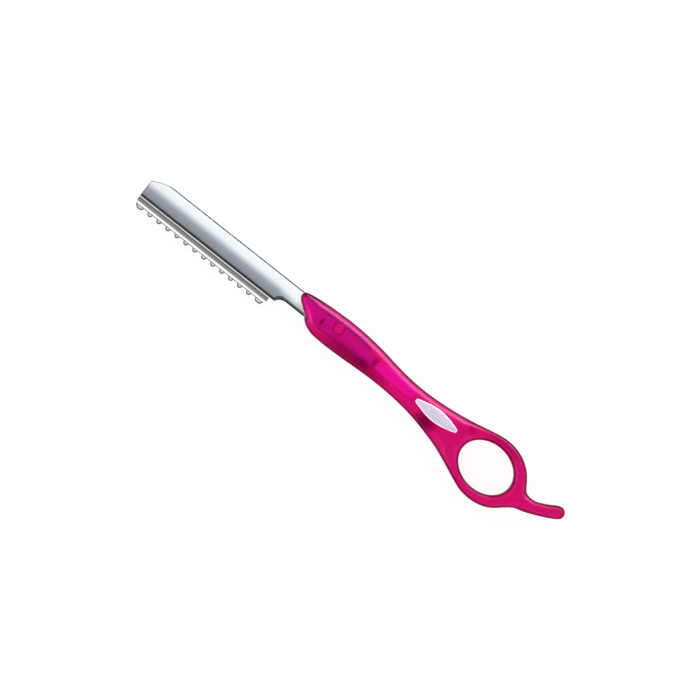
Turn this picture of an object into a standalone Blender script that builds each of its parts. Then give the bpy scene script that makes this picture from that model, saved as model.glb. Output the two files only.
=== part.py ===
"""Hair-styling razor with a guarded, slide-in blade and a translucent plastic handle.

A folded sheet-steel holder grips the upper flanges of a guarded blade. The holder's rear end is a tang that
is shut between two moulded handle halves, which end in a finger ring and a hooked tail.

Units are metres. The razor lies on its rear face: X runs along it from the blade tip (-X) to the tail (+X),
Y runs across it towards the spine, and Z is its thickness, with the labelled front face up. The origin is
under the middle of the razor. Inside the frame empty, x is counted from the tip, y from the centre of the
finger ring and z from the mid-plane of the blade.
"""

import math

import bmesh
import bpy
import numpy as np

# Blade cartridge
CARTRIDGE_LENGTH = 0.0634
BLADE_THICKNESS = 0.0003
BLADE_WIDTH = 0.0082
GRIND_WIDTH = 0.0012
EDGE_REVEAL = 0.00015
BOND_GAP = 0.0001
GUARD_FLANGE_HEIGHT = 0.0014
GUARD_FLANGE_THICKNESS = 0.0006
GUARD_WAIST_THICKNESS = 0.0003
GUARD_RIB_THICKNESS = 0.0007
GUARD_RIB_HEIGHT = 0.0015
GUARD_SLOPE_HEIGHT = 0.0010
GUARD_EDGE_THICKNESS = 0.00025
GUARD_DROP = 0.0007
TOOTH_COUNT = 14
TOOTH_WIDTH = 0.0022
TOOTH_HEIGHT = 0.0013
TOOTH_END_MARGIN = 0.00315
TIP_CORNER_WIDTH = 0.0020
TIP_CORNER_HEIGHT = 0.0023
TIP_CORNER_BULGE = 0.0004
HEEL_CORNER_WIDTH = 0.0016
HEEL_CORNER_HEIGHT = 0.0027

# Holder, one folded sheet
SHEET_THICKNESS = 0.0005
HOLDER_THICKNESS = 0.0031
HOLDER_HEIGHT = 0.0100
JAW_LENGTH = 0.0656
LIP_HEIGHT = 0.00075
LIP_SET = 0.00035
NOTCH_RISE = 0.0025
NOTCH_RADIUS = 0.0040
CREASE_LEAD = 0.0006
CREASE_RADIUS = 0.0029
TIP_TRIM_LENGTH = 0.0084
TIP_TRIM_DROP = 0.0030
TIP_TRIM_BULGE = 0.00028
NECK_LENGTH = 0.0070

# Tang, the part of the holder inside the handle
TANG_LENGTH = 0.0372
TANG_CUT_LENGTH = 0.0077
TANG_CUT_DROP = 0.0032
TANG_SLOT_REACH = 0.0124
TANG_SLOT_WIDTH = 0.0008
TANG_SLOT_HEIGHT = 0.0035
MAIN_HOLE_REACH = 0.0193
MAIN_HOLE_DEPTH = 0.0031
MAIN_HOLE_DIAMETER = 0.0042
SMALL_HOLE_REACH = 0.0307
SMALL_HOLE_DEPTH = 0.0050
SMALL_HOLE_DIAMETER = 0.0018

# Core plate inside the fold
CORE_SETBACK = 0.0015
SEAT_GAP = 0.0003
SHEET_GAP = 0.0001

# Handle
HANDLE_THICKNESS = 0.0070
GRIP_LENGTH = 0.0814
GRIP_WALL_ABOVE = 0.0022
GRIP_WALL_BELOW = 0.0039
HOLE_LENGTH = 0.0237
HOLE_HEIGHT = 0.0186
RIM_SIDE = 0.0041
RIM_END = 0.0045
RING_SHIFT = 0.0011
RING_TILT = math.radians(-6.5)
TAIL_LENGTH = 0.0176
TAIL_WIDTH = 0.0051
TAIL_RISE = 0.0036
EDGE_ROUND = 0.0026
POCKET_GAP = 0.00015
POCKET_END_ROOM = 0.0016
PARTING_GAP = 0.0001
PIN_GAP = 0.0003
SPINE_ABOVE_RING = 0.0098

# Label
LABEL_LENGTH = 0.0197
LABEL_HEIGHT = 0.0053
LABEL_THICKNESS = 0.0005
LABEL_PROUD = 0.0001
LABEL_REACH = 0.0697
LABEL_RAISE = 0.0038
LABEL_POINT_POWER = 1.4

# How far a cutter runs past what it cuts
OVERRUN = 0.0020

# Handle outline. Along: shares of the grip length from the handle's front tip. Across: shares of the grip
# height from its centre line, positive towards the spine.
GRIP_TOP_SHARES = (
    (0.000, 0.230), (0.006, 0.342), (0.060, 0.423), (0.150, 0.476), (0.250, 0.500), (0.335, 0.490),
    (0.410, 0.456), (0.480, 0.407), (0.553, 0.338), (0.628, 0.280), (0.704, 0.249), (0.775, 0.250),
    (0.855, 0.282), (0.931, 0.334), (1.010, 0.412),
)
GRIP_BOTTOM_SHARES = (
    (0.006, 0.131), (0.042, -0.047), (0.070, -0.215), (0.100, -0.372), (0.150, -0.477), (0.210, -0.499),
    (0.300, -0.495), (0.401, -0.463), (0.515, -0.440), (0.628, -0.461), (0.704, -0.503), (0.780, -0.574),
    (0.855, -0.678), (0.931, -0.805), (1.007, -0.977),
)
# Parameter angles of the ring's outer ellipse that the outline passes through
RING_TOP_DEGREES = (112, 96, 80, 64, 48, 34)
RING_BOTTOM_DEGREES = (-50, -66, -82, -98, -114)
# Roots of the tail: along in tail lengths from the ring's end, across in outer half heights of the ring
TAIL_ROOT_TOP_SHARES = (0.035, 0.175)
TAIL_ROOT_BOTTOM_SHARES = (0.010, -0.430)
# Tail centre line: along in tail lengths, across in tail rises, and the local width in tail widths
TAIL_SHARES = ((0.182, -0.42, 1.22), (0.356, -0.24, 1.02), (0.532, 0.12, 0.98), (0.709, 0.57, 1.00))

# Steps in curves, the share of a narrow place that its rounded edges may take, how often the change of the
# edge width along the outline is eased, and the distance under which two points are one
OUTLINE_STEPS = 3
ROUND_STEPS = 5
TAIL_TIP_STEPS = 5
ARC_STEPS = 10
HOLE_STEPS = 40
TOOTH_STEPS = 6
NARROW_SHARE = 0.86
EASE_PASSES = 12
WELD = 1e-6
SMOOTH_ANGLE = math.radians(35)
ALONG_X = (math.pi / 2, 0, math.pi / 2)

# Places worked out from the sizes
SPINE_Y = SPINE_ABOVE_RING
LIP_Y = SPINE_Y - HOLDER_HEIGHT
NECK_Y = LIP_Y + NOTCH_RISE
CREASE_Y = LIP_Y + LIP_HEIGHT
NECK_CREASE_Y = NECK_Y + LIP_HEIGHT
HOLDER_HALF = HOLDER_THICKNESS / 2
CAVITY_HALF = HOLDER_HALF - SHEET_THICKNESS
FOLD_Y = SPINE_Y - HOLDER_HALF
HANDLE_X = JAW_LENGTH + NECK_LENGTH
TANG_END_X = HANDLE_X + TANG_LENGTH
CORE_HALF = CAVITY_HALF - SHEET_GAP
BLADE_HALF = BLADE_THICKNESS / 2
GUARD_Z = BLADE_HALF + BOND_GAP
GUARD_RIB_Y = LIP_Y - GUARD_DROP
GUARD_EDGE_Y = GUARD_RIB_Y - GUARD_RIB_HEIGHT - GUARD_SLOPE_HEIGHT
TOOTH_Y = GUARD_EDGE_Y - TOOTH_HEIGHT
BLADE_EDGE_Y = GUARD_EDGE_Y - EDGE_REVEAL
BLADE_BACK_Y = BLADE_EDGE_Y + BLADE_WIDTH
HEEL_X = CARTRIDGE_LENGTH + SEAT_GAP
HANDLE_HALF = HANDLE_THICKNESS / 2
GRIP_HEIGHT = (SPINE_Y + GRIP_WALL_ABOVE) - (NECK_Y - GRIP_WALL_BELOW)
GRIP_Y = NECK_Y - GRIP_WALL_BELOW + GRIP_HEIGHT / 2
RING_HALF_LENGTH = HOLE_LENGTH / 2 + RIM_END
RING_HALF_HEIGHT = HOLE_HEIGHT / 2 + RIM_SIDE
RING_X = HANDLE_X + GRIP_LENGTH + RING_HALF_LENGTH
HOLE_X = RING_X - RING_SHIFT
RING_END_X = RING_X + RING_HALF_LENGTH
OVERALL_LENGTH = RING_END_X + TAIL_LENGTH

MATERIALS = {
    "polished_steel": ((0.72, 0.74, 0.77), 0.12, 1.0),
    "hardened_steel": ((0.66, 0.68, 0.71), 0.20, 1.0),
    "guard_steel": ((0.70, 0.70, 0.68), 0.28, 1.0),
    "magenta_plastic": ((0.72, 0.0, 0.13), 0.15, 0.0),
    "silver_label": ((0.80, 0.78, 0.84), 0.30, 1.0),
}


def clear_scene():
    for obj in list(bpy.data.objects):
        bpy.data.objects.remove(obj, do_unlink=True)


def make_collection(name):
    collection = bpy.data.collections.new(name)
    bpy.context.scene.collection.children.link(collection)
    return collection


def make_material(name):
    colour, roughness, metallic = MATERIALS[name]
    material = bpy.data.materials.new(name)
    material.use_nodes = True
    shader = material.node_tree.nodes["Principled BSDF"]
    shader.inputs["Base Color"].default_value = (*colour, 1.0)
    shader.inputs["Roughness"].default_value = roughness
    shader.inputs["Metallic"].default_value = metallic
    material.diffuse_color = (*colour, 1.0)
    return material


def make_empty(name, location, collection, parent=None):
    empty = bpy.data.objects.new(name, None)
    empty.location = location
    empty.parent = parent
    collection.objects.link(empty)
    return empty


def object_from_bmesh(name, bm, collection):
    bmesh.ops.recalc_face_normals(bm, faces=bm.faces)
    mesh = bpy.data.meshes.new(name)
    bm.to_mesh(mesh)
    bm.free()
    obj = bpy.data.objects.new(name, mesh)
    collection.objects.link(obj)
    return obj


def finish_piece(obj, parent, material):
    """Hangs a piece on its empty and gives it its material and smooth round faces."""
    obj.parent = parent
    obj.data.materials.clear()
    obj.data.materials.append(material)
    obj.data.shade_smooth()
    obj.data.set_sharp_from_angle(angle=SMOOTH_ANGLE)


def make_cutter(obj, parent):
    obj.parent = parent
    obj.hide_render = True
    obj.display_type = "WIRE"
    return obj


def add_boolean(obj, other, operation="DIFFERENCE"):
    modifier = obj.modifiers.new(other.name, "BOOLEAN")
    modifier.operation = operation
    modifier.solver = "EXACT"
    modifier.object = other


def flat_solid(name, loops, thickness, collection):
    """A flat outline, with any holes in it, given an even thickness about its own plane."""
    curve = bpy.data.curves.new(name, "CURVE")
    curve.dimensions = "2D"
    curve.fill_mode = "BOTH"
    curve.extrude = thickness / 2
    for loop in loops:
        spline = curve.splines.new("POLY")
        spline.points.add(len(loop) - 1)
        for point, (x, y) in zip(spline.points, loop):
            point.co = (x, y, 0, 1)
        spline.use_cyclic_u = True
    drawn = bpy.data.objects.new("drawn_outline", curve)
    collection.objects.link(drawn)
    graph = bpy.context.evaluated_depsgraph_get()
    mesh = bpy.data.meshes.new_from_object(drawn.evaluated_get(graph))
    bm = bmesh.new()
    bm.from_mesh(mesh)
    bmesh.ops.remove_doubles(bm, verts=bm.verts, dist=WELD)
    solid = object_from_bmesh(name, bm, collection)
    solid.matrix_world = drawn.matrix_world
    bpy.data.objects.remove(drawn, do_unlink=True)
    bpy.data.meshes.remove(mesh)
    bpy.data.curves.remove(curve)
    return solid


def bar(name, profile, start_x, length, collection):
    """A profile of (y, z) points carried straight along X."""
    solid = flat_solid(name, [profile], length, collection)
    solid.rotation_euler = ALONG_X
    solid.location.x = start_x + length / 2
    return solid


def cylinder(name, x, y, diameter, depth, collection):
    bm = bmesh.new()
    bmesh.ops.create_cone(
        bm, cap_ends=True, segments=HOLE_STEPS, radius1=diameter / 2, radius2=diameter / 2, depth=depth
    )
    obj = object_from_bmesh(name, bm, collection)
    obj.location = (x, y, 0)
    return obj


def box(name, low, high, collection):
    low = np.array(low)
    high = np.array(high)
    bm = bmesh.new()
    bmesh.ops.create_cube(bm, size=1)
    bmesh.ops.scale(bm, vec=tuple(high - low), verts=bm.verts)
    obj = object_from_bmesh(name, bm, collection)
    obj.location = tuple((low + high) / 2)
    return obj


def arc_between(start, end, bulge, steps):
    """Points of a circular arc from start to end that bulges to the left of its chord, both ends included."""
    start = np.array(start, float)
    end = np.array(end, float)
    chord = end - start
    half = np.hypot(*chord) / 2
    along = chord / (2 * half)
    left = np.array((-along[1], along[0]))
    radius = (half**2 + bulge**2) / (2 * bulge)
    reach = math.asin(min(1.0, half / radius))
    angles = np.linspace(-reach, reach, steps + 1)
    middle = (start + end) / 2 - left * (radius - bulge)
    return middle + radius * (np.outer(np.sin(angles), along) + np.outer(np.cos(angles), left))


def tilted_ellipse(centre_x, half_length, half_height, angles):
    """Points of an ellipse on the ring's centre line, tilted as the finger ring is."""
    x = half_length * np.cos(angles)
    y = half_height * np.sin(angles)
    turned_x = x * math.cos(RING_TILT) - y * math.sin(RING_TILT)
    turned_y = x * math.sin(RING_TILT) + y * math.cos(RING_TILT)
    return np.column_stack((centre_x + turned_x, turned_y))


def closed_spline(points, steps):
    """A closed centripetal Catmull-Rom curve through the points, with some steps between each two of them."""
    points = np.array(points)
    before = np.roll(points, 1, axis=0)
    after = np.roll(points, -1, axis=0)
    beyond = np.roll(points, -2, axis=0)

    def knot(a, b):
        return np.sqrt(np.hypot(*(b - a).T))[:, None]

    first = knot(before, points)
    second = first + knot(points, after)
    third = second + knot(after, beyond)
    found = []
    for share in np.arange(steps) / steps:
        at = first + share * (second - first)
        low = before * (first - at) / first + points * at / first
        middle = points * (second - at) / (second - first) + after * (at - first) / (second - first)
        high = after * (third - at) / (third - second) + beyond * (at - second) / (third - second)
        left = low * (second - at) / second + middle * at / second
        right = middle * (third - at) / (third - first) + high * (at - first) / (third - first)
        found.append(left * (second - at) / (second - first) + right * (at - first) / (second - first))
    return np.stack(found, axis=1).reshape(-1, 2)


def handle_outline():
    """The handle seen from the front: grip, finger ring and hooked tail, anticlockwise from the tip."""
    def grip(shares):
        return [(HANDLE_X + along * GRIP_LENGTH, GRIP_Y + across * GRIP_HEIGHT) for along, across in shares]

    def ring(degrees):
        return tilted_ellipse(RING_X, RING_HALF_LENGTH, RING_HALF_HEIGHT, np.radians(degrees)).tolist()

    def root(shares):
        return [(RING_END_X + shares[0] * TAIL_LENGTH, shares[1] * RING_HALF_HEIGHT)]

    end = (OVERALL_LENGTH - TAIL_WIDTH / 2, TAIL_RISE)
    line = [(RING_END_X + along * TAIL_LENGTH, across * TAIL_RISE) for along, across, _ in TAIL_SHARES]
    widths = [width * TAIL_WIDTH / 2 for _, _, width in TAIL_SHARES]
    line = np.array([*line, end])
    steps = np.gradient(line, axis=0)
    normals = np.column_stack((-steps[:, 1], steps[:, 0])) / np.hypot(*steps.T)[:, None]
    reach = normals[:-1] * np.array(widths)[:, None]
    upper = (line[:-1] + reach).tolist()
    lower = (line[:-1] - reach).tolist()
    heading = math.atan2(normals[-1, 1], normals[-1, 0])
    turns = np.linspace(heading, heading - math.pi, TAIL_TIP_STEPS + 1)
    tip = (np.array(end) + TAIL_WIDTH / 2 * np.column_stack((np.cos(turns), np.sin(turns)))).tolist()
    clockwise = [
        *grip(GRIP_TOP_SHARES),
        *ring(RING_TOP_DEGREES),
        *root(TAIL_ROOT_TOP_SHARES),
        *upper,
        *tip,
        *lower[::-1],
        *root(TAIL_ROOT_BOTTOM_SHARES),
        *ring(RING_BOTTOM_DEGREES),
        *grip(GRIP_BOTTOM_SHARES)[::-1],
    ]
    return closed_spline(clockwise[::-1], OUTLINE_STEPS)


def finger_hole():
    """The finger hole, clockwise, so that its left side is the plastic around it."""
    angles = -np.arange(HOLE_STEPS) * 2 * math.pi / HOLE_STEPS
    return tilted_ellipse(HOLE_X, HOLE_LENGTH / 2, HOLE_HEIGHT / 2, angles)


def inward(loop):
    """Unit vectors to the left of a closed loop's direction of travel."""
    step = np.roll(loop, -1, axis=0) - np.roll(loop, 1, axis=0)
    return np.column_stack((-step[:, 1], step[:, 0])) / np.hypot(*step.T)[:, None]


def edge_widths(loops):
    """How far in the rounded edge reaches: its full width, or less where the handle is narrow.

    The widest disc that touches a point of the outline from inside passes through another point of it, and
    its radius is the squared distance between the two over twice that distance's share along the normal.
    """
    every = np.concatenate(loops)
    found = []
    for loop in loops:
        normal = inward(loop)
        apart = every[None] - loop[:, None]
        along = (apart * normal[:, None]).sum(axis=2)
        square = (apart**2).sum(axis=2)
        radius = np.where(along > WELD, square / np.maximum(2 * along, WELD), OVERALL_LENGTH).min(axis=1)
        width = np.minimum(EDGE_ROUND, radius * NARROW_SHARE)
        for _ in range(EASE_PASSES):
            width = np.minimum(width, (np.roll(width, 1) + width + np.roll(width, -1)) / 3)
        found.append(width)
    return found


def add_skin(bm, rings):
    """Quads between rings of points, and the edges of the first and last ring."""
    rows = [[bm.verts.new(tuple(point)) for point in ring] for ring in rings]
    count = len(rows[0])
    for low, high in zip(rows, rows[1:]):
        for i in range(count):
            j = (i + 1) % count
            bm.faces.new((low[i], low[j], high[j], high[i]))
    return [[bm.edges.get((row[i], row[(i + 1) % count])) for i in range(count)] for row in (rows[0], rows[-1])]


def handle_half(name, side, collection):
    """One moulded half: quarter-ellipse edges round the outline and the finger hole, and a flat outer face."""
    loops = [handle_outline(), finger_hole()]
    start = math.asin(PARTING_GAP / 2 / HANDLE_HALF)
    turns = np.linspace(start, math.pi / 2, ROUND_STEPS + 1)
    bm = bmesh.new()
    ends = ([], [])
    for loop, width in zip(loops, edge_widths(loops)):
        rings = []
        for turn in turns:
            inset = loop + inward(loop) * (width * (1 - math.cos(turn)))[:, None]
            height = side * HANDLE_HALF * math.sin(turn)
            rings.append(np.column_stack((inset, np.full(len(inset), height))))
        for end, edges in zip(ends, add_skin(bm, rings)):
            end.extend(edges)
    for edges in ends:
        bmesh.ops.triangle_fill(bm, edges=edges, use_beauty=True)
    return object_from_bmesh(name, bm, collection)


def tang_profile(grow, end_room):
    """Side view of the tang from in front of the handle to its end, grown by a clearance."""
    start = HANDLE_X - NECK_LENGTH
    top = SPINE_Y + grow
    end = TANG_END_X + end_room
    cut_start = TANG_END_X - TANG_CUT_LENGTH + grow
    return [
        (start, NECK_Y - grow),
        (end, NECK_Y - grow),
        (end, SPINE_Y - TANG_CUT_DROP + grow),
        (cut_start, top),
        (start, top),
    ]


def tang_hole(name, reach, depth, diameter, length, collection):
    return cylinder(name, HANDLE_X + reach, SPINE_Y - depth, diameter, length, collection)


def pocket_cutter(collection, parent):
    """The room for the tang in both halves, with the pins that pass through the tang's holes left standing."""
    depth = HOLDER_THICKNESS + 2 * POCKET_GAP
    pocket = flat_solid("pocket_cutter", [tang_profile(POCKET_GAP, POCKET_END_ROOM)], depth, collection)
    make_cutter(pocket, parent)
    pins = (
        ("main_pin_form", MAIN_HOLE_REACH, MAIN_HOLE_DEPTH, MAIN_HOLE_DIAMETER),
        ("small_pin_form", SMALL_HOLE_REACH, SMALL_HOLE_DEPTH, SMALL_HOLE_DIAMETER),
    )
    for name, reach, drop, diameter in pins:
        form = tang_hole(name, reach, drop, diameter - 2 * PIN_GAP, depth + 2 * OVERRUN, collection)
        make_cutter(form, parent)
        add_boolean(pocket, form)
    return pocket


def label_outline(grow):
    """An oval drawn out to a blunt point at each end: an ellipse whose sine is raised to a power above one."""
    turns = np.arange(HOLE_STEPS) * 2 * math.pi / HOLE_STEPS
    across = np.sign(np.sin(turns)) * np.abs(np.sin(turns)) ** LABEL_POINT_POWER
    along = (LABEL_LENGTH / 2 + grow) * np.cos(turns)
    return np.column_stack((along, (LABEL_HEIGHT / 2 + grow) * across))


def label_solid(name, grow, low, high, collection):
    solid = flat_solid(name, [label_outline(grow)], high - low, collection)
    solid.location = (HANDLE_X + LABEL_REACH, LABEL_RAISE, (low + high) / 2)
    return solid


def stepped_line(x, before, rise, start, radius):
    """A level line that steps up by a rise from start, along an arc that ends level."""
    run = math.sqrt(radius**2 - (radius - rise) ** 2)
    away = np.clip(start + run - x, 0, radius)
    arc = before + rise - radius + np.sqrt(radius**2 - away**2)
    return np.where(x <= start, before, arc)


def holder_section(lip_y, crease_y):
    """Section of the folded sheet: lip, jaw, round fold, jaw and lip outside, and the same inside."""
    turns = np.linspace(0, math.pi, ARC_STEPS + 1)

    def side(half):
        fold = np.column_stack((FOLD_Y + half * np.sin(turns), half * np.cos(turns))).tolist()
        lip = half - LIP_SET
        return [(lip_y, lip), (crease_y, half), *fold, (crease_y, -half), (lip_y, -lip)]

    return side(HOLDER_HALF) + side(CAVITY_HALF)[::-1]


def holder_cover(collection, cutters, frame):
    """The folded sheet from the open tip to the end of the tang, whose lips follow its lower edge."""
    crease_start = JAW_LENGTH - CREASE_LEAD
    crease_run = math.sqrt(CREASE_RADIUS**2 - (CREASE_RADIUS - NOTCH_RISE) ** 2)
    notch_run = math.sqrt(NOTCH_RADIUS**2 - (NOTCH_RADIUS - NOTCH_RISE) ** 2)
    stations = np.unique(
        np.concatenate(
            (
                (0, TANG_END_X),
                crease_start + crease_run * (1 - np.cos(np.linspace(0, math.pi / 2, ARC_STEPS))),
                JAW_LENGTH + notch_run * np.linspace(0, 1, ARC_STEPS),
            )
        )
    )
    lips = stepped_line(stations, LIP_Y, NOTCH_RISE, JAW_LENGTH, NOTCH_RADIUS)
    creases = stepped_line(stations, CREASE_Y, NOTCH_RISE, crease_start, CREASE_RADIUS)
    rings = []
    for x, lip_y, crease_y in zip(stations, lips, creases):
        rings.append([(x, y, z) for y, z in holder_section(lip_y, crease_y)])
    bm = bmesh.new()
    for edges in add_skin(bm, rings):
        bmesh.ops.contextual_create(bm, geom=edges)
    bmesh.ops.triangulate(bm, faces=[face for face in bm.faces if len(face.verts) > 4])
    cover = object_from_bmesh("holder_cover", bm, collection)

    corner = arc_between((0, SPINE_Y - TIP_TRIM_DROP), (TIP_TRIM_LENGTH, SPINE_Y), TIP_TRIM_BULGE, ARC_STEPS)
    left_slope = corner[1] - corner[0]
    right_slope = corner[-1] - corner[-2]
    above = SPINE_Y + OVERRUN
    trim = [
        tuple(corner[0] - left_slope * OVERRUN / left_slope[0]),
        *map(tuple, corner),
        tuple(corner[-1] + right_slope * OVERRUN / right_slope[1]),
        (-OVERRUN, above),
    ]
    depth = HOLDER_THICKNESS + 2 * OVERRUN
    trimmer = make_cutter(flat_solid("tip_trimmer", [trim], depth, cutters), frame)
    add_boolean(cover, trimmer)
    for cutter in tang_cutters("cover", SPINE_Y, TANG_CUT_LENGTH, TANG_CUT_DROP, TANG_END_X, cutters, frame):
        add_boolean(cover, cutter)
    return cover


def tang_cutters(owner, top, cut_length, cut_drop, end, cutters, frame):
    """What is cut out of a layer of the tang: its end corner, the slot and the two holes."""
    depth = HOLDER_THICKNESS + 2 * OVERRUN
    slope = cut_drop / cut_length
    corner = [
        (end + OVERRUN, top - cut_drop - slope * OVERRUN),
        (end + OVERRUN, top + OVERRUN),
        (end - cut_length - OVERRUN / slope, top + OVERRUN),
    ]
    slot_x = HANDLE_X + TANG_SLOT_REACH
    slot_low = (slot_x - TANG_SLOT_WIDTH / 2, NECK_Y - OVERRUN, -depth / 2)
    slot_high = (slot_x + TANG_SLOT_WIDTH / 2, NECK_Y + TANG_SLOT_HEIGHT, depth / 2)
    made = [
        flat_solid(f"{owner}_corner_cutter", [corner], depth, cutters),
        box(f"{owner}_slot_cutter", slot_low, slot_high, cutters),
        tang_hole(
            f"{owner}_main_drill", MAIN_HOLE_REACH, MAIN_HOLE_DEPTH, MAIN_HOLE_DIAMETER, depth, cutters
        ),
        tang_hole(
            f"{owner}_small_drill", SMALL_HOLE_REACH, SMALL_HOLE_DEPTH, SMALL_HOLE_DIAMETER, depth, cutters
        ),
    ]
    return [make_cutter(cutter, frame) for cutter in made]


def core_plate(collection, cutters, frame):
    """The plate inside the fold: a limb behind the blade's back, and the filling of the neck and tang."""
    end = TANG_END_X - SEAT_GAP
    low = NECK_CREASE_Y + SEAT_GAP
    limb_low = max(low, BLADE_BACK_Y + SEAT_GAP)
    outline = [
        (CORE_SETBACK + TIP_TRIM_LENGTH, limb_low),
        (HEEL_X, limb_low),
        (HEEL_X, low),
        (end, low),
        (end, FOLD_Y),
        (CORE_SETBACK + TIP_TRIM_LENGTH, FOLD_Y),
    ]
    core = flat_solid("core_plate", [outline], 2 * CORE_HALF, collection)
    drop = TANG_CUT_DROP - (SPINE_Y - FOLD_Y) + SEAT_GAP
    length = drop * TANG_CUT_LENGTH / TANG_CUT_DROP
    for cutter in tang_cutters("core", FOLD_Y, length, drop, end, cutters, frame):
        add_boolean(core, cutter)
    return core


def blade(collection):
    profile = [
        (BLADE_BACK_Y, -BLADE_HALF),
        (BLADE_BACK_Y, BLADE_HALF),
        (BLADE_EDGE_Y + GRIND_WIDTH, BLADE_HALF),
        (BLADE_EDGE_Y, 0),
        (BLADE_EDGE_Y + GRIND_WIDTH, -BLADE_HALF),
    ]
    return bar("blade", profile, 0, CARTRIDGE_LENGTH, collection)


def guard_outline():
    """Side view of the guard: half-round teeth along its lower edge, a round tip corner and a cut heel."""
    top = CREASE_Y + GUARD_FLANGE_HEIGHT + OVERRUN
    pitch = (CARTRIDGE_LENGTH - 2 * TOOTH_END_MARGIN) / (TOOTH_COUNT - 1)
    centres = TOOTH_END_MARGIN + pitch * np.arange(TOOTH_COUNT)
    turns = np.linspace(-math.pi, 0, TOOTH_STEPS + 1)
    bottom = []
    for number, centre in enumerate(centres):
        x = centre + TOOTH_WIDTH / 2 * np.cos(turns)
        y = GUARD_EDGE_Y + TOOTH_HEIGHT * np.sin(turns)
        tooth = np.column_stack((x, y))
        if number == 0:
            tooth = tooth[TOOTH_STEPS // 2 :]
        elif number == TOOTH_COUNT - 1:
            tooth = tooth[: TOOTH_STEPS // 2 + 1]
        bottom.extend(tooth.tolist())
    tip = arc_between(
        (0, TOOTH_Y + TIP_CORNER_HEIGHT), (TIP_CORNER_WIDTH, TOOTH_Y), -TIP_CORNER_BULGE, TOOTH_STEPS
    )
    return [
        (0, top),
        *tip.tolist(),
        *bottom,
        (CARTRIDGE_LENGTH - HEEL_CORNER_WIDTH, TOOTH_Y),
        (CARTRIDGE_LENGTH, TOOTH_Y + HEEL_CORNER_HEIGHT),
        (CARTRIDGE_LENGTH, top),
    ]


def guard(name, side, form, collection):
    """One guard strip: a flange above the lips, a waist between them, and a rib that slopes to the edge."""
    top = CREASE_Y + GUARD_FLANGE_HEIGHT
    slope_y = GUARD_RIB_Y - GUARD_RIB_HEIGHT
    profile = [
        (top, GUARD_Z),
        (top, GUARD_Z + GUARD_FLANGE_THICKNESS),
        (CREASE_Y, GUARD_Z + GUARD_FLANGE_THICKNESS),
        (CREASE_Y, GUARD_Z + GUARD_WAIST_THICKNESS),
        (GUARD_RIB_Y, GUARD_Z + GUARD_WAIST_THICKNESS),
        (GUARD_RIB_Y, GUARD_Z + GUARD_RIB_THICKNESS),
        (slope_y, GUARD_Z + GUARD_RIB_THICKNESS),
        (GUARD_EDGE_Y, GUARD_Z + GUARD_EDGE_THICKNESS),
        (TOOTH_Y - OVERRUN, GUARD_Z + GUARD_EDGE_THICKNESS),
        (TOOTH_Y - OVERRUN, GUARD_Z),
    ]
    profile = [(y, side * z) for y, z in profile]
    strip = bar(name, profile, -OVERRUN, CARTRIDGE_LENGTH + 2 * OVERRUN, collection)
    add_boolean(strip, form, "INTERSECT")
    return strip


def main():
    clear_scene()
    razor = make_collection("styling_razor")
    cutters = make_collection("cutters")
    materials = {name: make_material(name) for name in MATERIALS}
    frame = make_empty("razor_frame", (-OVERALL_LENGTH / 2, 0, HANDLE_HALF), razor)
    slide = make_empty("blade_slide", (0, LIP_Y, 0), razor, frame)
    pocket = pocket_cutter(cutters, frame)
    for name, side in (("handle_front_half", 1), ("handle_rear_half", -1)):
        half = handle_half(name, side, razor)
        finish_piece(half, frame, materials["magenta_plastic"])
        add_boolean(half, pocket)
    label_low = HANDLE_HALF + LABEL_PROUD - LABEL_THICKNESS
    label = label_solid("label_plate", 0, label_low, HANDLE_HALF + LABEL_PROUD, razor)
    finish_piece(label, frame, materials["silver_label"])
    recess = label_solid("label_recess", SHEET_GAP, label_low - SHEET_GAP, HANDLE_HALF + OVERRUN, cutters)
    add_boolean(bpy.data.objects["handle_front_half"], make_cutter(recess, frame))
    finish_piece(holder_cover(razor, cutters, frame), frame, materials["polished_steel"])
    finish_piece(core_plate(razor, cutters, frame), frame, materials["hardened_steel"])
    form = make_cutter(flat_solid("guard_form", [guard_outline()], 2 * HANDLE_HALF, cutters), frame)
    moving = (
        (blade(razor), "hardened_steel"),
        (guard("guard_front", 1, form, razor), "guard_steel"),
        (guard("guard_rear", -1, form, razor), "guard_steel"),
    )
    for piece, material in moving:
        finish_piece(piece, slide, materials[material])
        piece.location.y -= slide.location.y


if __name__ == "__main__":
    main()
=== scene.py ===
"""Looks of a hair-styling razor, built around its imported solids.

A folded, mirror-polished holder grips a guarded blade, and its tang is shut in a translucent magenta handle
that ends in a finger ring and a hooked tail. Their surfaces are worked out with numpy. The core plate
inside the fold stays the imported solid.

Lengths are metres. Shapes are drawn in the razor's own bench: x counts from the blade tip, y from the centre
of the finger ring towards the spine, and z from the mid-plane of the blade. Bench.place moves them to the
frame, in which the razor lies on its rear face.
"""

from __future__ import annotations

import logging
import math
from dataclasses import dataclass, field
from enum import Enum

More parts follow.
